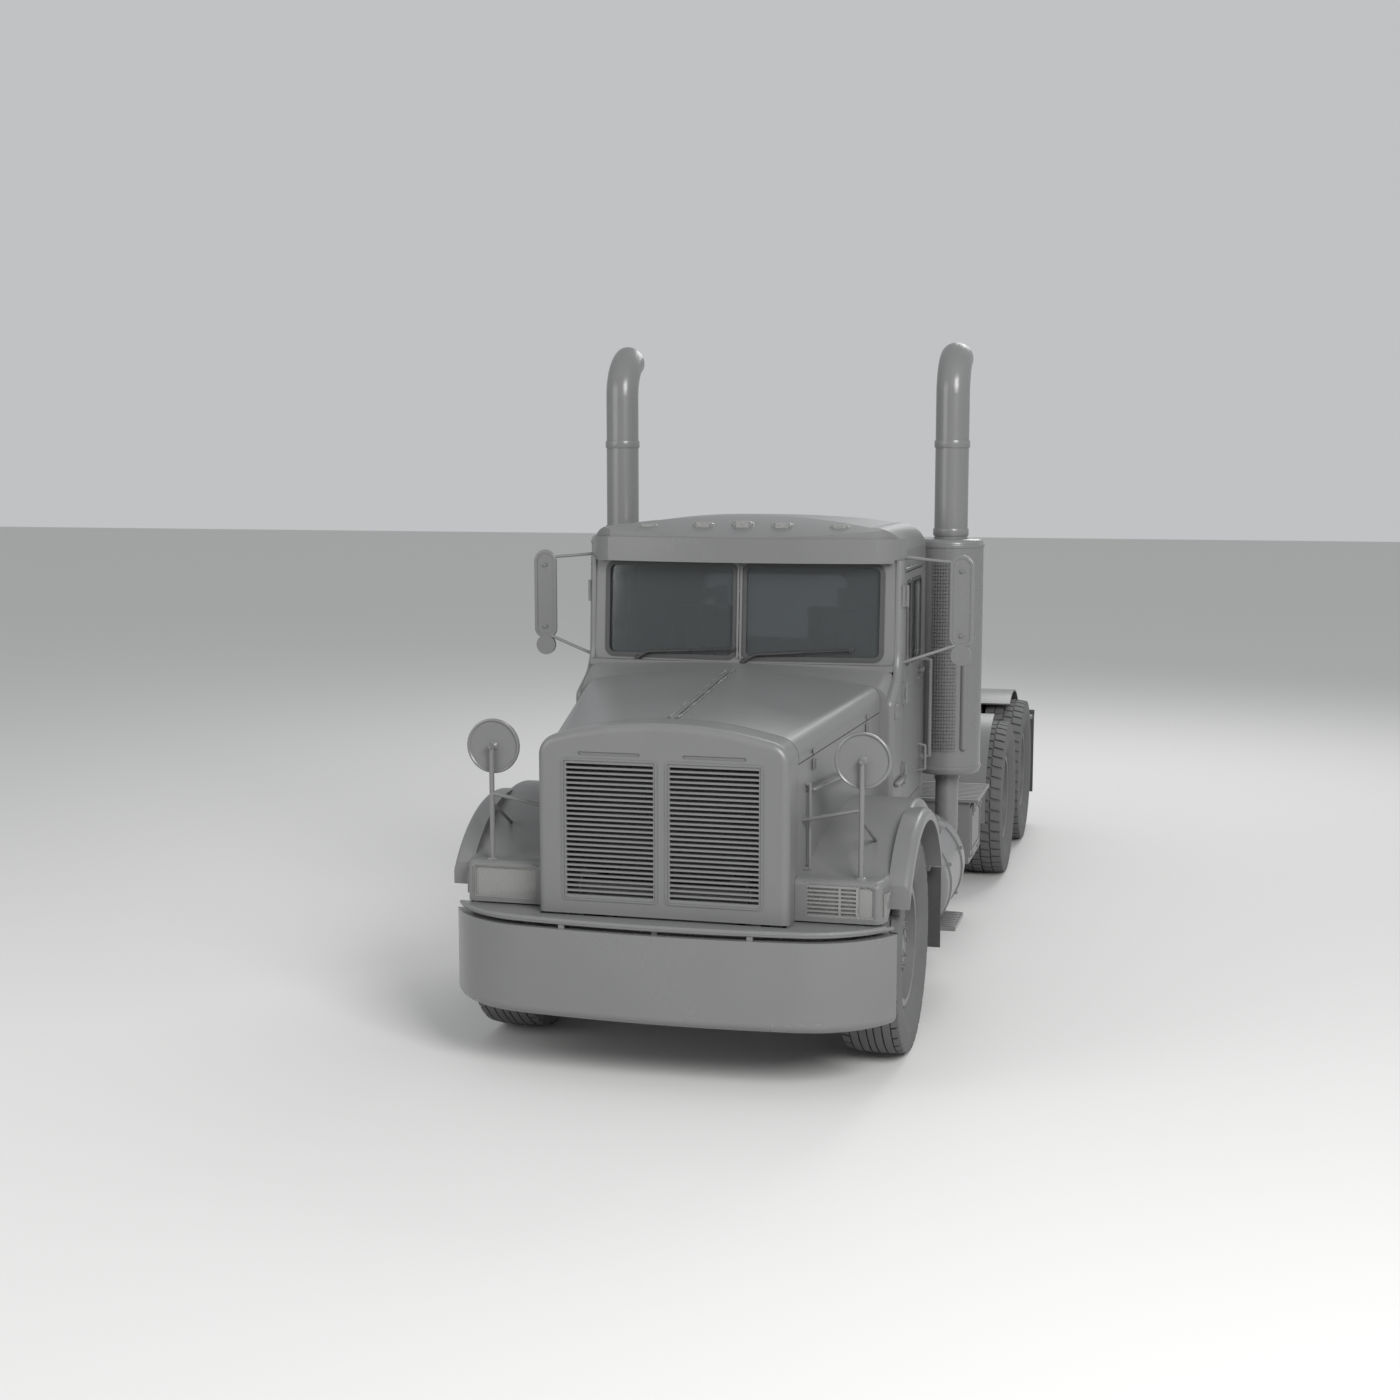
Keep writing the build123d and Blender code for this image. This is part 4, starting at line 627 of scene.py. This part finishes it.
for side, sign in sides:
    fixed = bmesh.new()
    moving = bmesh.new()
    for x in (0.42, -0.38):
        y, z = hood_half(x), seam_height(x)
        side_brick(fixed, sign, (x - 0.02, y, z - 0.075), (x + 0.02, y + 0.01, z - 0.018), 0.003)
        draw_y = sign * (y + 0.014)
        bar(fixed, point(x, draw_y, z - 0.064), point(x, draw_y, z - 0.022), 0.007, 10)
        bolt(fixed, point(x, sign * (y + 0.01), z - 0.066), (0, sign, 0), 0.01)
        side_brick(moving, sign, (x - 0.016, y, z + 0.006), (x + 0.016, y + 0.012, z + 0.03), 0.003)
    out = Vector((0, sign * 0.034, 0))
    ends = [point(x, sign * hood_half(x), rail_z) for x in rail_ends]
    rail(fixed, [ends[0], ends[0] + out, ends[1] + out, ends[1]], 0.009)
    for end in ends:
        bolt(fixed, end, (0, sign, 0), 0.024)
    low, high = (point(upright_x, sign * hood_half(upright_x), z) for z in upright_z)
    rail(fixed, [low, low + out * 0.7, high + out * 0.7, high], 0.008)
    for n in range(vent_slats):
        x = vent_x - vent_pitch * n
        side_brick(fixed, sign, (x - 0.0055, 0.9195, 1.665), (x + 0.0055, 0.9255, 1.745), 0.0025)
    fitting(f"hood_latches_{side}", fixed)
    fitting(f"hood_catches_{side}", moving, body=f"hood_{side}")

# %% [markdown]
# ## Doors, gutters and grab rails
#
# A door has a paddle handle with its lock, a pull low down and, inside, a trim panel with an arm rest. Rails
# by the door help the driver up, and a rain gutter runs above it.

# %% Door fittings

cab_skin, door_inside = 0.92, 0.874
handle_z, handle_feet = 1.852, (-1.475, -1.572)
pull_x, grab_x = -1.56, -1.7
lock = ((0.0, 0.006), (0.008, 0.006), (0.011, 0.0))


def grab_rail(bm, sign, x, low, high, out, radius):
    """An upright rail whose ends turn in to the cab's skin."""
    y, away = sign * cab_skin, sign * (cab_skin + out)
    rail(bm, [point(x, y, low), point(x, away, low + 0.01), point(x, away, high - 0.01), point(x, y, high)],
         radius)


for side, sign in sides:
    bm = bmesh.new()
    round_panel(bm, (0.13, 0.052), 0.02, wall_place(-1.53, cab_skin, 1.85, sign), 0.004)
    round_panel(bm, (0.11, 0.026), 0.01, wall_place(-1.525, cab_skin + 0.018, handle_z, sign), 0.01)
    for x in handle_feet:
        bar(bm, point(x, sign * cab_skin, handle_z), point(x, sign * (cab_skin + 0.022), handle_z), 0.008, 10)
    lathe(bm, lock, point(-1.53, sign * cab_skin, 1.8), (0, sign, 0), 16)
    grab_rail(bm, sign, pull_x, 1.24, 1.4, 0.04, 0.009)
    fitting(f"door_handles_{side}", bm, body=f"door_{side}")

    bm = bmesh.new()
    side_brick(bm, sign, (-1.59, door_inside - 0.012, 1.2), (-1.0, door_inside, 1.89), 0.005)
    side_brick(bm, sign, (-1.52, door_inside - 0.07, 1.56), (-1.15, door_inside, 1.615), 0.022, 4)
    piece(f"door_trim_{side}", bm, dash_abs, f"door_{side}")

    bm = bmesh.new()
    side_brick(bm, sign, (-1.7, cab_skin, 2.476), (-0.945, cab_skin + 0.012, 2.486), 0.003)
    grab_rail(bm, sign, grab_x, 1.3, 1.9, 0.045, 0.012)
    for z in (1.3, 1.9):
        bolt(bm, point(grab_x, sign * cab_skin, z), (0, sign, 0), 0.034)
    side_brick(bm, sign, (-0.93, cab_skin, 1.29), (-0.64, cab_skin + 0.03, 1.318), 0.01, 3)
    fitting(f"cab_rails_{side}", bm)

# %% [markdown]
# ## Mirrors
#
# The mirror shells are CAD pieces seen from the front. What is missing is the glass that faces back, the
# rolled rim of the round mirrors, and the bolted feet of their stays.

# %% Mirror glass and rims

round_y, round_z = 0.963, 1.631
long_y, long_z, spot_z = 1.233, 2.296, 1.995
rolled_rim = ((0.136, -0.014), (0.141, -0.012), (0.1425, -0.004), (0.1405, 0.004), (0.134, 0.007),
              (0.1275, 0.004), (0.124, -0.001))
round_glass = ((0.0, 0.007), (0.06, 0.0055), (0.11, 0.002), (0.126, 0.0), (0.126, -0.003))
spot_glass = ((0.0, 0.005), (0.03, 0.0035), (0.05, 0.0), (0.05, -0.002))
boss = ((0.0, 0.014), (0.01, 0.013), (0.024, 0.0))
post_foot = ((0.013, 0.01), (0.02, 0.009), (0.03, 0.0))
glass = bmesh.new()
trim = bmesh.new()
for sign in (1, -1):
    lathe(trim, rolled_rim, point(0.604, sign * round_y, round_z), (1, 0, 0), 48)
    lathe(glass, round_glass, point(0.5775, sign * round_y, round_z), (-1, 0, 0), 48)
    bolt(trim, point(0.641, sign * round_y, round_z), (1, 0, 0), 0.02)
    lathe(trim, boss, point(0.6045, sign * round_y, round_z), (1, 0, 0), 24)
    lathe(trim, post_foot, point(0.628, sign * round_y, 1.045), (0, 0, 1), 20)
    round_panel(glass, (0.094, 0.462), 0.04, end_place(-1.0185, sign * long_y, long_z, -1), 0.002)
    lathe(glass, spot_glass, point(-1.0235, sign * long_y, spot_z), (-1, 0, 0), 32)
    for z in (2.106, 2.47):
        bolt(trim, point(-1.006, sign * long_y, z), (1, 0, 0), 0.02)
piece("mirror_faces", glass, mirror_silver, "chassis")
fitting("mirror_trim", trim)

# %% [markdown]
# ## Lamp bezels, roof lamp housings and the deck's edge
#
# Lamps are held by screwed bezels, roof lamps sit in pressed housings, and the deck plate over the bumper
# ends in a rolled edge. The edge follows the plate, so its line is found by rays sent back at the CAD plate,
# and a bent bar is laid on it.

# %% Lamp bezels and deck edge

lamp_y, lamp_z = 0.876, 0.94
screw_head = ((0.0, 0.003), (0.004, 0.0025), (0.006, 0.0))
bm = bmesh.new()
for sign in (1, -1):
    round_panel(bm, (0.372, 0.2), 0.034, end_place(0.688, sign * lamp_y, lamp_z, 1), 0.007, 0.018)
    for y in (-0.176, 0.176):
        for z in (-0.09, 0.09):
            lathe(bm, screw_head, point(0.695, sign * lamp_y + y, lamp_z + z), (1, 0, 0), 12)
    round_panel(bm, (0.15, 0.1), 0.012, end_place(-6.794, sign * 0.28, 0.915, -1), 0.006, 0.008)
fitting("lamp_bezels", bm)

# middle and top of each roof lamp's housing, which stands behind the lens and is wider than it
roof_lamps = ((-0.56, 2.719), (-0.23, 2.73), (0.0, 2.738), (0.23, 2.73), (0.56, 2.719))
housing_half = 0.058
bm = bmesh.new()
for y, top in roof_lamps:
    brick(bm, point(-0.93, y - housing_half, 2.692), point(-0.858, y + housing_half, top), 0.008, 3)
fitting("roof_lamp_housings", bm)

deck_half, deck_mid_z, bead_z = 1.1, 0.816, 0.825
bead_radius, bead_inset = 0.0125, 0.01
half_count = 22  # points on each side of the middle, closer together towards the ends
edge_line = []
for n in range(-half_count, half_count):
    y = deck_half * sin(radians(90 * (n + 0.5) / half_count))
    hit, spot, _, _ = nodes["bumper_deck"].ray_cast(point(2.0, y, deck_mid_z), (-1, 0, 0))
    if hit:
        edge_line.append(Vector((spot.x - bead_inset, y, bead_z)))
bm = bmesh.new()
rail(bm, edge_line, bead_radius)
fitting("deck_rolled_edge", bm)
print("deck edge runs through", len(edge_line), "points")

# %% [markdown]
# ## Muffler shields, seams and stack clamps
#
# A muffler has rolled seams at its ends and a perforated shield that keeps hands off the heat. The shield is
# a small curved grid: every face is inset, the middles are deleted, and the sheet gets its thickness.

# %% Exhaust dressing

muffler_x, muffler_y = -1.96, 1.042
shield_wide, shield_tall = 9, 54  # holes across and up
shield_radius, shield_low, shield_high = 0.206, 1.33, 2.48
shield_start, shield_turn = radians(-22), radians(42)
# height of each clamp and radius of the pipe in it
clamps = ((1.15, 0.0695), (2.65, 0.1005), (3.18, 0.1005))
seam = ((0.199, -0.012), (0.204, -0.01), (0.206, 0.0), (0.204, 0.01), (0.199, 0.012))


def shield(bm, sign):
    """A perforated sheet bent about the muffler, facing out and forward."""
    grid = ops.create_grid(bm, x_segments=shield_wide, y_segments=shield_tall, size=0.5)["verts"]
    for vert in grid:
        angle = sign * (shield_start + shield_turn * (vert.co.x + 0.5))
        height = shield_low + (shield_high - shield_low) * (vert.co.y + 0.5)
        out = Vector((cos(angle), sin(angle), 0)) * shield_radius
        vert.co = point(muffler_x, sign * muffler_y, height) + out
    faces = list({f for v in grid for f in v.link_faces})
    ops.inset_individual(bm, faces=faces, thickness=0.0035, use_even_offset=True)
    ops.delete(bm, geom=faces, context="FACES")
    rest = list(bm.faces)
    ops.recalc_face_normals(bm, faces=rest)
    ops.solidify(bm, geom=rest, thickness=0.002)


for side, sign in sides:
    bm = bmesh.new()
    shield(bm, sign)
    fitting(f"muffler_shield_{side}", bm)

    bm = bmesh.new()
    for z in (1.218, 2.57):
        lathe(bm, seam, point(muffler_x, sign * muffler_y, z), (0, 0, 1), 48)
    for z, around in clamps:
        band = ((around, -0.022), (around + 0.005, -0.022), (around + 0.007, -0.016), (around + 0.007, 0.016),
                (around + 0.005, 0.022), (around, 0.022))
        lathe(bm, band, point(muffler_x, sign * muffler_y, z), (0, 0, 1), 40)
        ear = muffler_x - around
        side_brick(bm, sign, (ear - 0.026, muffler_y - 0.009, z - 0.018),
                   (ear, muffler_y + 0.009, z + 0.018), 0.003)
        bolt(bm, point(ear - 0.014, sign * (muffler_y + 0.009), z), (0, sign, 0), 0.014)
    fitting(f"exhaust_clamps_{side}", bm)

# %% [markdown]
# ## Tanks, boxes and the tail
#
# The tank gets its filler cap, strap bolts and a step with raised treads. The side box has a door with
# latches. The mud flaps hang from a bolted strip, the rails show the bolts of their crossmembers, and the
# front springs are held to the axle by U-bolts.

# %% Tank and box dressing

tank_x, tank_y, tank_z = -1.38, 0.868, 0.655
filler_out, strap_out = 0.314, 0.326
filler = ((0.062, -0.006), (0.062, 0.024), (0.07, 0.026), (0.07, 0.052), (0.064, 0.06), (0.022, 0.064),
          (0.02, 0.078), (0.0, 0.08))
box_x, box_z, box_face, door_face = -3.05, 0.637, 1.0895, 1.097
button = ((0.0, 0.01), (0.01, 0.01), (0.014, 0.0))
rail_face, rail_rows = 0.432, (0.872, 0.958)
crossmembers = (-1.72, -3.0, -4.0, -5.254, -6.74)
spring_half, u_bolt_low, u_bolt_high = (0.338, 0.436), 0.485, 0.684


def tread_strips(bm, sign, start, pitch, count, inner, outer, low, high):
    """Raised strips across a step or a lid."""
    for n in range(count):
        x = start + pitch * n
        side_brick(bm, sign, (x - 0.006, inner, low), (x + 0.006, outer, high), 0.002)


for side, sign in sides:
    bm = bmesh.new()
    middle = Vector((0, sign * tank_y, tank_z))
    slope = Vector((0, sign * 0.5, 0.866))
    lathe(bm, filler, point(tank_x, 0, 0) + middle + slope * filler_out, slope, 28)
    for x in (-1.13, -1.63):
        for angle in (20, -30, 100):
            out = Vector((0, sign * cos(radians(angle)), sin(radians(angle))))
            bolt(bm, point(x, 0, 0) + middle + out * strap_out, out, 0.018)
    tread_strips(bm, sign, tank_x, 0.042, 9, 1.1, 1.215, 0.424, 0.431)
    fitting(f"tank_fittings_{side}", bm)

    bm = bmesh.new()
    round_panel(bm, (0.54, 0.35), 0.03, wall_place(box_x, box_face, box_z, sign), 0.008)
    round_panel(bm, (0.46, 0.27), 0.026, wall_place(box_x, door_face, box_z, sign), 0.006, 0.014)
    for x in (-3.21, -2.89):
        round_panel(bm, (0.06, 0.08), 0.012, wall_place(x, door_face, 0.775, sign), 0.012)
        lathe(bm, button, point(x, sign * 1.109, 0.77), (0, sign, 0), 16)
        bar(bm, point(x - 0.045, sign * 1.098, 0.47), point(x + 0.045, sign * 1.098, 0.47), 0.009, 10)
    tread_strips(bm, sign, -3.33, 0.051, 12, 0.5, 1.14, 0.864, 0.871)
    fitting(f"side_box_door_{side}", bm, satin_enamel)

    bm = bmesh.new()
    side_brick(bm, sign, (-6.652, 0.54, 0.88), (-6.637, 1.155, 0.925))
    for n in range(5):
        bolt(bm, point(-6.637, sign * (0.6 + 0.124 * n), 0.902), (1, 0, 0), 0.022)
    for x in crossmembers:
        for dx in (-0.018, 0.018):
            for z in rail_rows:
                bolt(bm, point(x + dx, sign * rail_face, z), (0, sign, 0), 0.022)
    for x in (-0.056, 0.056):
        for y in spring_half:
            bar(bm, point(x, sign * y, u_bolt_low), point(x, sign * y, u_bolt_high), 0.008, 10)
        ends = sorted(sign * y for y in spring_half)
        bar(bm, point(x, ends[0] - 0.006, 0.682), point(x, ends[1] + 0.006, 0.682), 0.0085, 10)
    fitting(f"chassis_bolts_{side}", bm, zinc_steel)

# %% [markdown]
# ## Fifth wheel
#
# The coupling plate has a release handle and a jaw in two halves under the throat. They ride on the plate,
# because they rock with it.

# %% Fifth wheel dressing

plate_x, release_z = -5.15, 1.19
handle_end = point(plate_x + 0.13, 0.56, release_z)
knob = ((0.0, 0.01), (0.016, 0.01), (0.018, 0.0), (0.016, -0.01), (0.0, -0.01))
bm = bmesh.new()
rail(bm, [point(plate_x + 0.1, 0.4, release_z), point(plate_x + 0.1, 0.52, release_z), handle_end], 0.009)
lathe(bm, knob, handle_end, (0, 1, 0), 20)
for sign in (1, -1):
    side_brick(bm, sign, (plate_x - 0.06, 0.06, 1.188), (plate_x + 0.08, 0.125, 1.201))
    bolt(bm, point(plate_x + 0.05, sign * 0.092, 1.188), (0, 0, -1), 0.024)
piece("coupling_jaw_and_handle", bm, cast_iron, "fifth_wheel")

# %% [markdown]
# ## Under the hood
#
# With the hood folded up, the block would look bare. Three rocker covers with their bolts, an intake pipe, an
# exhaust manifold and a fan on its pulley make it read as an engine.

# %% Engine dressing

rocker_covers = ((-0.44, -0.16), (-0.14, 0.13), (0.15, 0.42))
cover_half, cover_low, cover_top = 0.15, 1.498, 1.57
intake_y, intake_z = 0.26, 1.44
manifold_y, manifold_z = 0.398, 1.3
fan_x, fan_z, fan_blades, blade_pitch = 0.511, 1.25, 6, radians(25)
pulley = ((0.0, 0.05), (0.05, 0.048), (0.09, 0.03), (0.09, 0.004), (0.0, 0.004))
bm = bmesh.new()
for x0, x1 in rocker_covers:
    brick(bm, point(x0, -cover_half, cover_low), point(x1, cover_half, cover_top), 0.022, 4)
    for x in (x0 + 0.04, x1 - 0.04):
        for y in (-0.1, 0.1):
            bolt(bm, point(x, y, cover_top), (0, 0, 1), 0.02)
rail(bm, [point(-0.42, intake_y, intake_z), point(0.38, intake_y, intake_z), point(0.44, 0.18, intake_z)],
     0.055, 16)
for x in (-0.36, -0.12, 0.12, 0.36):
    bar(bm, point(x, 0.33, manifold_z), point(x, manifold_y, manifold_z), 0.045, 16)
bar(bm, point(-0.42, manifold_y, manifold_z), point(0.4, manifold_y, manifold_z), 0.05, 16)
lathe(bm, pulley, point(0.476, 0, fan_z), (1, 0, 0), 32)
piece("engine_covers", bm, cast_iron, "chassis")

bm = bmesh.new()
for n in range(fan_blades):
    before = set(bm.verts)
    brick(bm, (0.06, -0.045, -0.003), (0.3, 0.045, 0.003), 0.0025)
    fresh = [v for v in bm.verts if v not in before]
    spin = Matrix.Rotation(2 * pi * n / fan_blades, 4, "X") @ turned((1, 0, 0))
    place = Matrix.Translation(point(fan_x, 0, fan_z)) @ spin @ Matrix.Rotation(blade_pitch, 4, "X")
    ops.transform(bm, matrix=place, verts=fresh)
piece("cooling_fan", bm, dash_abs, "chassis")

# %% [markdown]
# ## Seats
#
# A seat is foam under cloth. Each pad starts as a block that is smaller than its space, is remeshed evenly
# and is blown up by a little pressure as cloth, with a cap on how far a point may go. The sewn channels are
# pressed in afterwards, since a seam is narrower than the remesh. One pad of each kind is made, and the
# other seat gets its mirror image. Under the cushions stand bellows on a foot, as on an air-sprung seat.

# %% Seat pads

swell_cap, swell_frames = 0.022, 20
voxel = 0.009
channel_depth, channel_width = 0.012, 0.01


def simulate(pad):
    """Pressure swells the pad for a few frames; no point moves further than the cap."""
    before = [v.co.copy() for v in pad.data.vertices]
    foam = pad.modifiers.new("foam", "CLOTH").settings
    foam.use_pressure = True
    foam.uniform_pressure_force = 4.0
    foam.effector_weights.gravity = 0.0
    foam.tension_stiffness = 12
    scene = bpy.context.scene
    for number in range(1, swell_frames + 1):
        scene.frame_set(number)
    graph = bpy.context.evaluated_depsgraph_get()
    swollen = bpy.data.meshes.new_from_object(pad.evaluated_get(graph))
    pad.modifiers.clear()
    for vert, old, new in zip(pad.data.vertices, before, swollen.vertices):
        move = new.co - old
        vert.co = old + move * min(1.0, swell_cap / max(move.length, 1e-9))
    bpy.data.meshes.remove(swollen)
    scene.frame_set(1)


def upholster(pad):
    """Cloth on a pad, and one level of smoothing."""
    pad.data.materials.clear()
    pad.data.materials.append(seat_cloth)
    smooth = pad.modifiers.new("smooth", "SUBSURF")
    smooth.levels = smooth.render_levels = 1
    pad.data.shade_smooth()


def seat_pad(name, low, high, edge, tilt, channels, top):
    """A stuffed pad with sewn channels across its width, pressed in along one direction."""
    bm = bmesh.new()
    brick(bm, low, high, edge, 4)
    middle = (Vector(low) + Vector(high)) / 2
    lean = Matrix.Translation(middle) @ Matrix.Rotation(tilt, 4, "Y") @ Matrix.Translation(-middle)
    ops.transform(bm, matrix=lean, verts=bm.verts)
    pad = loose(name, bm)
    remesh = pad.modifiers.new("even", "REMESH")
    remesh.mode = "VOXEL"
    remesh.voxel_size = voxel
    graph = bpy.context.evaluated_depsgraph_get()
    even = bpy.data.meshes.new_from_object(pad.evaluated_get(graph))
    pad.modifiers.clear()
    pad.data = even
    simulate(pad)
    inward = lean.to_3x3() @ Vector(top)
    for vert in pad.data.vertices:
        flat = lean.inverted() @ vert.co
        if (flat - middle).dot(Vector(top)) > 0:
            dip = sum(exp(-((flat.y - y) / channel_width) ** 2) for y in channels)
            vert.co -= inward * channel_depth * min(dip, 1)
    upholster(pad)
    return pad


def other_side(pad, name):
    """The same pad mirrored to the truck's other side."""
    bm = bmesh.new()
    bm.from_mesh(pad.data)
    ops.scale(bm, vec=(1, -1, 1), verts=bm.verts)
    ops.reverse_faces(bm, faces=bm.faces)
    twin = loose(name, bm)
    upholster(twin)
    return twin


seat_in, seat_out, channel_ys = 0.205, 0.655, (0.33, 0.43, 0.53)
cushion = seat_pad("seat_cushion_left", point(-1.56, seat_in, 1.42), point(-1.215, seat_out, 1.545), 0.04,
                   radians(3), channel_ys, (0, 0, 1))
backrest = seat_pad("seat_back_left", point(-1.672, seat_in, 1.48), point(-1.58, seat_out, 2.225), 0.036,
                    radians(-4), channel_ys, (1, 0, 0))
pads = [cushion, backrest, other_side(cushion, "seat_cushion_right"), other_side(backrest, "seat_back_right")]
for pad in pads:
    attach(pad, "chassis")
    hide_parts("seats")

bm = bmesh.new()
for sign in (1, -1):
    side_brick(bm, sign, (-1.62, 0.23, 1.1), (-1.28, 0.63, 1.15), 0.008)
    for z in (1.175, 1.225, 1.275, 1.325):
        side_brick(bm, sign, (-1.6, 0.25, z - 0.024), (-1.3, 0.61, z + 0.024), 0.02, 4)
    side_brick(bm, sign, (-1.64, 0.21, 1.35), (-1.24, 0.65, 1.404), 0.01, 3)
base = piece("seat_suspension_bases", bm, dash_abs, "chassis")
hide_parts("seats")
print("seat pads", len(pads), "with", len(cushion.data.vertices), "points in the first")

# %% [markdown]
# ## Dashboard, pedals and gear lever
#
# The instruments are blank dials in bezels, in front of the steering wheel, with louvred air vents beside
# them. Pedals hang below, and the gear lever stands in a rubber boot between the seats.

# %% Cab inside

dash_face = Vector((-0.97, 0, 0.243))  # the way the dials look
dash_top_x, dash_top_z, dash_fall = -0.85, 1.8, 0.25
# width, height and radius of each dial
gauges = ((0.3, 1.745, 0.046), (0.42, 1.745, 0.046), (0.54, 1.75, 0.03), (0.62, 1.75, 0.03),
          (0.54, 1.68, 0.03), (0.62, 1.68, 0.03), (0.3, 1.655, 0.03), (0.42, 1.655, 0.03))
vent_place = Matrix(((0, 0.25, -0.97, at(-0.867)), (1, 0, 0, 0), (0, 0.97, 0.243, 1.735), (0, 0, 0, 1)))
boot = ((0.085, 0.0), (0.07, 0.03), (0.074, 0.04), (0.05, 0.07), (0.054, 0.08), (0.016, 0.12))
lever = (point(-1.02, 0, 1.2), point(-1.01, 0, 1.4), point(-1.06, 0.03, 1.62))
lever_knob = ((0.0, 0.038), (0.018, 0.034), (0.026, 0.018), (0.022, 0.0), (0.012, -0.012))
bm = bmesh.new()
dials = bmesh.new()
for y, z, r in gauges:
    place = point(dash_top_x - (dash_top_z - z) * dash_fall, y, z)
    ring = ((r, -0.004), (r + 0.001, 0.008), (r + 0.006, 0.01), (r + 0.008, -0.004))
    lathe(bm, ring, place, dash_face, 32)
    lathe(dials, ((0.0, 0.001), (r, 0.001), (r, -0.004)), place, dash_face, 32)
    needle = place + dash_face * 0.003
    bar(dials, needle, needle + Vector((0.1, 0.6, 0.8)) * r * 0.8, 0.0012, 6)
for y in (-0.62, -0.3, 0.05):
    round_panel(bm, (0.14, 0.06), 0.012, Matrix.Translation((0, y, 0)) @ vent_place, 0.006, 0.008)
    for n in range(4):
        z = 1.716 + 0.0125 * n
        bar(bm, point(-0.868, y - 0.062, z), point(-0.868, y + 0.062, z), 0.0025, 6)
for y, z in ((0.3, 1.28), (0.42, 1.28), (0.54, 1.27)):
    bar(bm, point(-0.862, y, 1.42), point(-0.9, y, z), 0.009, 8)
    brick(bm, point(-0.915, y - 0.04, z - 0.045), point(-0.895, y + 0.04, z + 0.045), 0.006)
lathe(bm, boot, point(-1.02, 0, 1.1), (0, 0, 1), 28)
rail(bm, lever, 0.011, 12)
lathe(bm, lever_knob, point(-1.064, 0.032, 1.63), (-0.2, 0.1, 1), 20)
piece("dash_fittings", bm, dash_abs, "chassis")
piece("dash_dials", dials, lamp_glass, "chassis")

# %% [markdown]
# ## Camera
#
# The photograph was taken from the front and a little to the truck's left, about ten metres ahead of the
# axle and three metres up. The place and angles were found by matching wheels, stacks and bumper corners.

# %% Camera

camera_from_axle = Vector((9.903, 2.584, 3.128))
camera_yaw = radians(14.737)
camera_pitch = radians(7.25)
camera = bpy.data.objects.new("camera", bpy.data.cameras.new("camera"))
bpy.context.collection.objects.link(camera)
camera.location = Vector((axle_x, 0, 0)) + camera_from_axle
ahead = cos(camera_pitch)
look = -Vector((cos(camera_yaw) * ahead, sin(camera_yaw) * ahead, sin(camera_pitch)))
camera.rotation_euler = look.to_track_quat("-Z", "Y").to_euler()
camera.data.lens = 50
camera.data.sensor_width = 36
camera.data.clip_end = 200
bpy.context.scene.camera = camera
print("camera at", [round(c, 2) for c in camera.location])

# %% [markdown]
# ## Studio
#
# A pale floor and a pale sky give even light from all round. A large key lamp from the front left shapes the
# hood and fenders, a weaker fill opens the shadows and a rim lamp draws the roof and stacks.

# %% Floor and light

floor_half = 60
bm = bmesh.new()
ops.create_grid(bm, x_segments=1, y_segments=1, size=floor_half)
floor = loose("floor", bm)
floor_material, tree, _ = blank("pale_floor")
# Matt, pale and even, so that it bounces soft light up under the truck.
surface(tree, **{"Base Color": linear("#d2d2d0"), "Roughness": 0.9})
floor.data.materials.append(floor_material)

world = bpy.data.worlds.new("studio")
bpy.context.scene.world = world
world.use_nodes = True
sky = world.node_tree.nodes["Background"].inputs
sky["Color"].default_value = linear("#e4e6e8")
sky["Strength"].default_value = 0.68


def lamp(name, place, aim, size, power):
    """A square area lamp that looks at a point."""
    data = bpy.data.lights.new(name, "AREA")
    data.size = size
    data.energy = power
    item = bpy.data.objects.new(name, data)
    bpy.context.collection.objects.link(item)
    item.location = place
    item.rotation_euler = (Vector(aim) - Vector(place)).to_track_quat("-Z", "Y").to_euler()


lamp("key", (11, 7, 8), (2, 0, 1.5), 5, 1350)
lamp("fill", (10, -8, 5), (2, 0, 1.5), 6, 320)
lamp("rim", (-8, 2, 9), (0, 0, 1.5), 5, 500)
bpy.context.scene.view_settings.view_transform = "Standard"
print("lamps", len(bpy.data.lights))
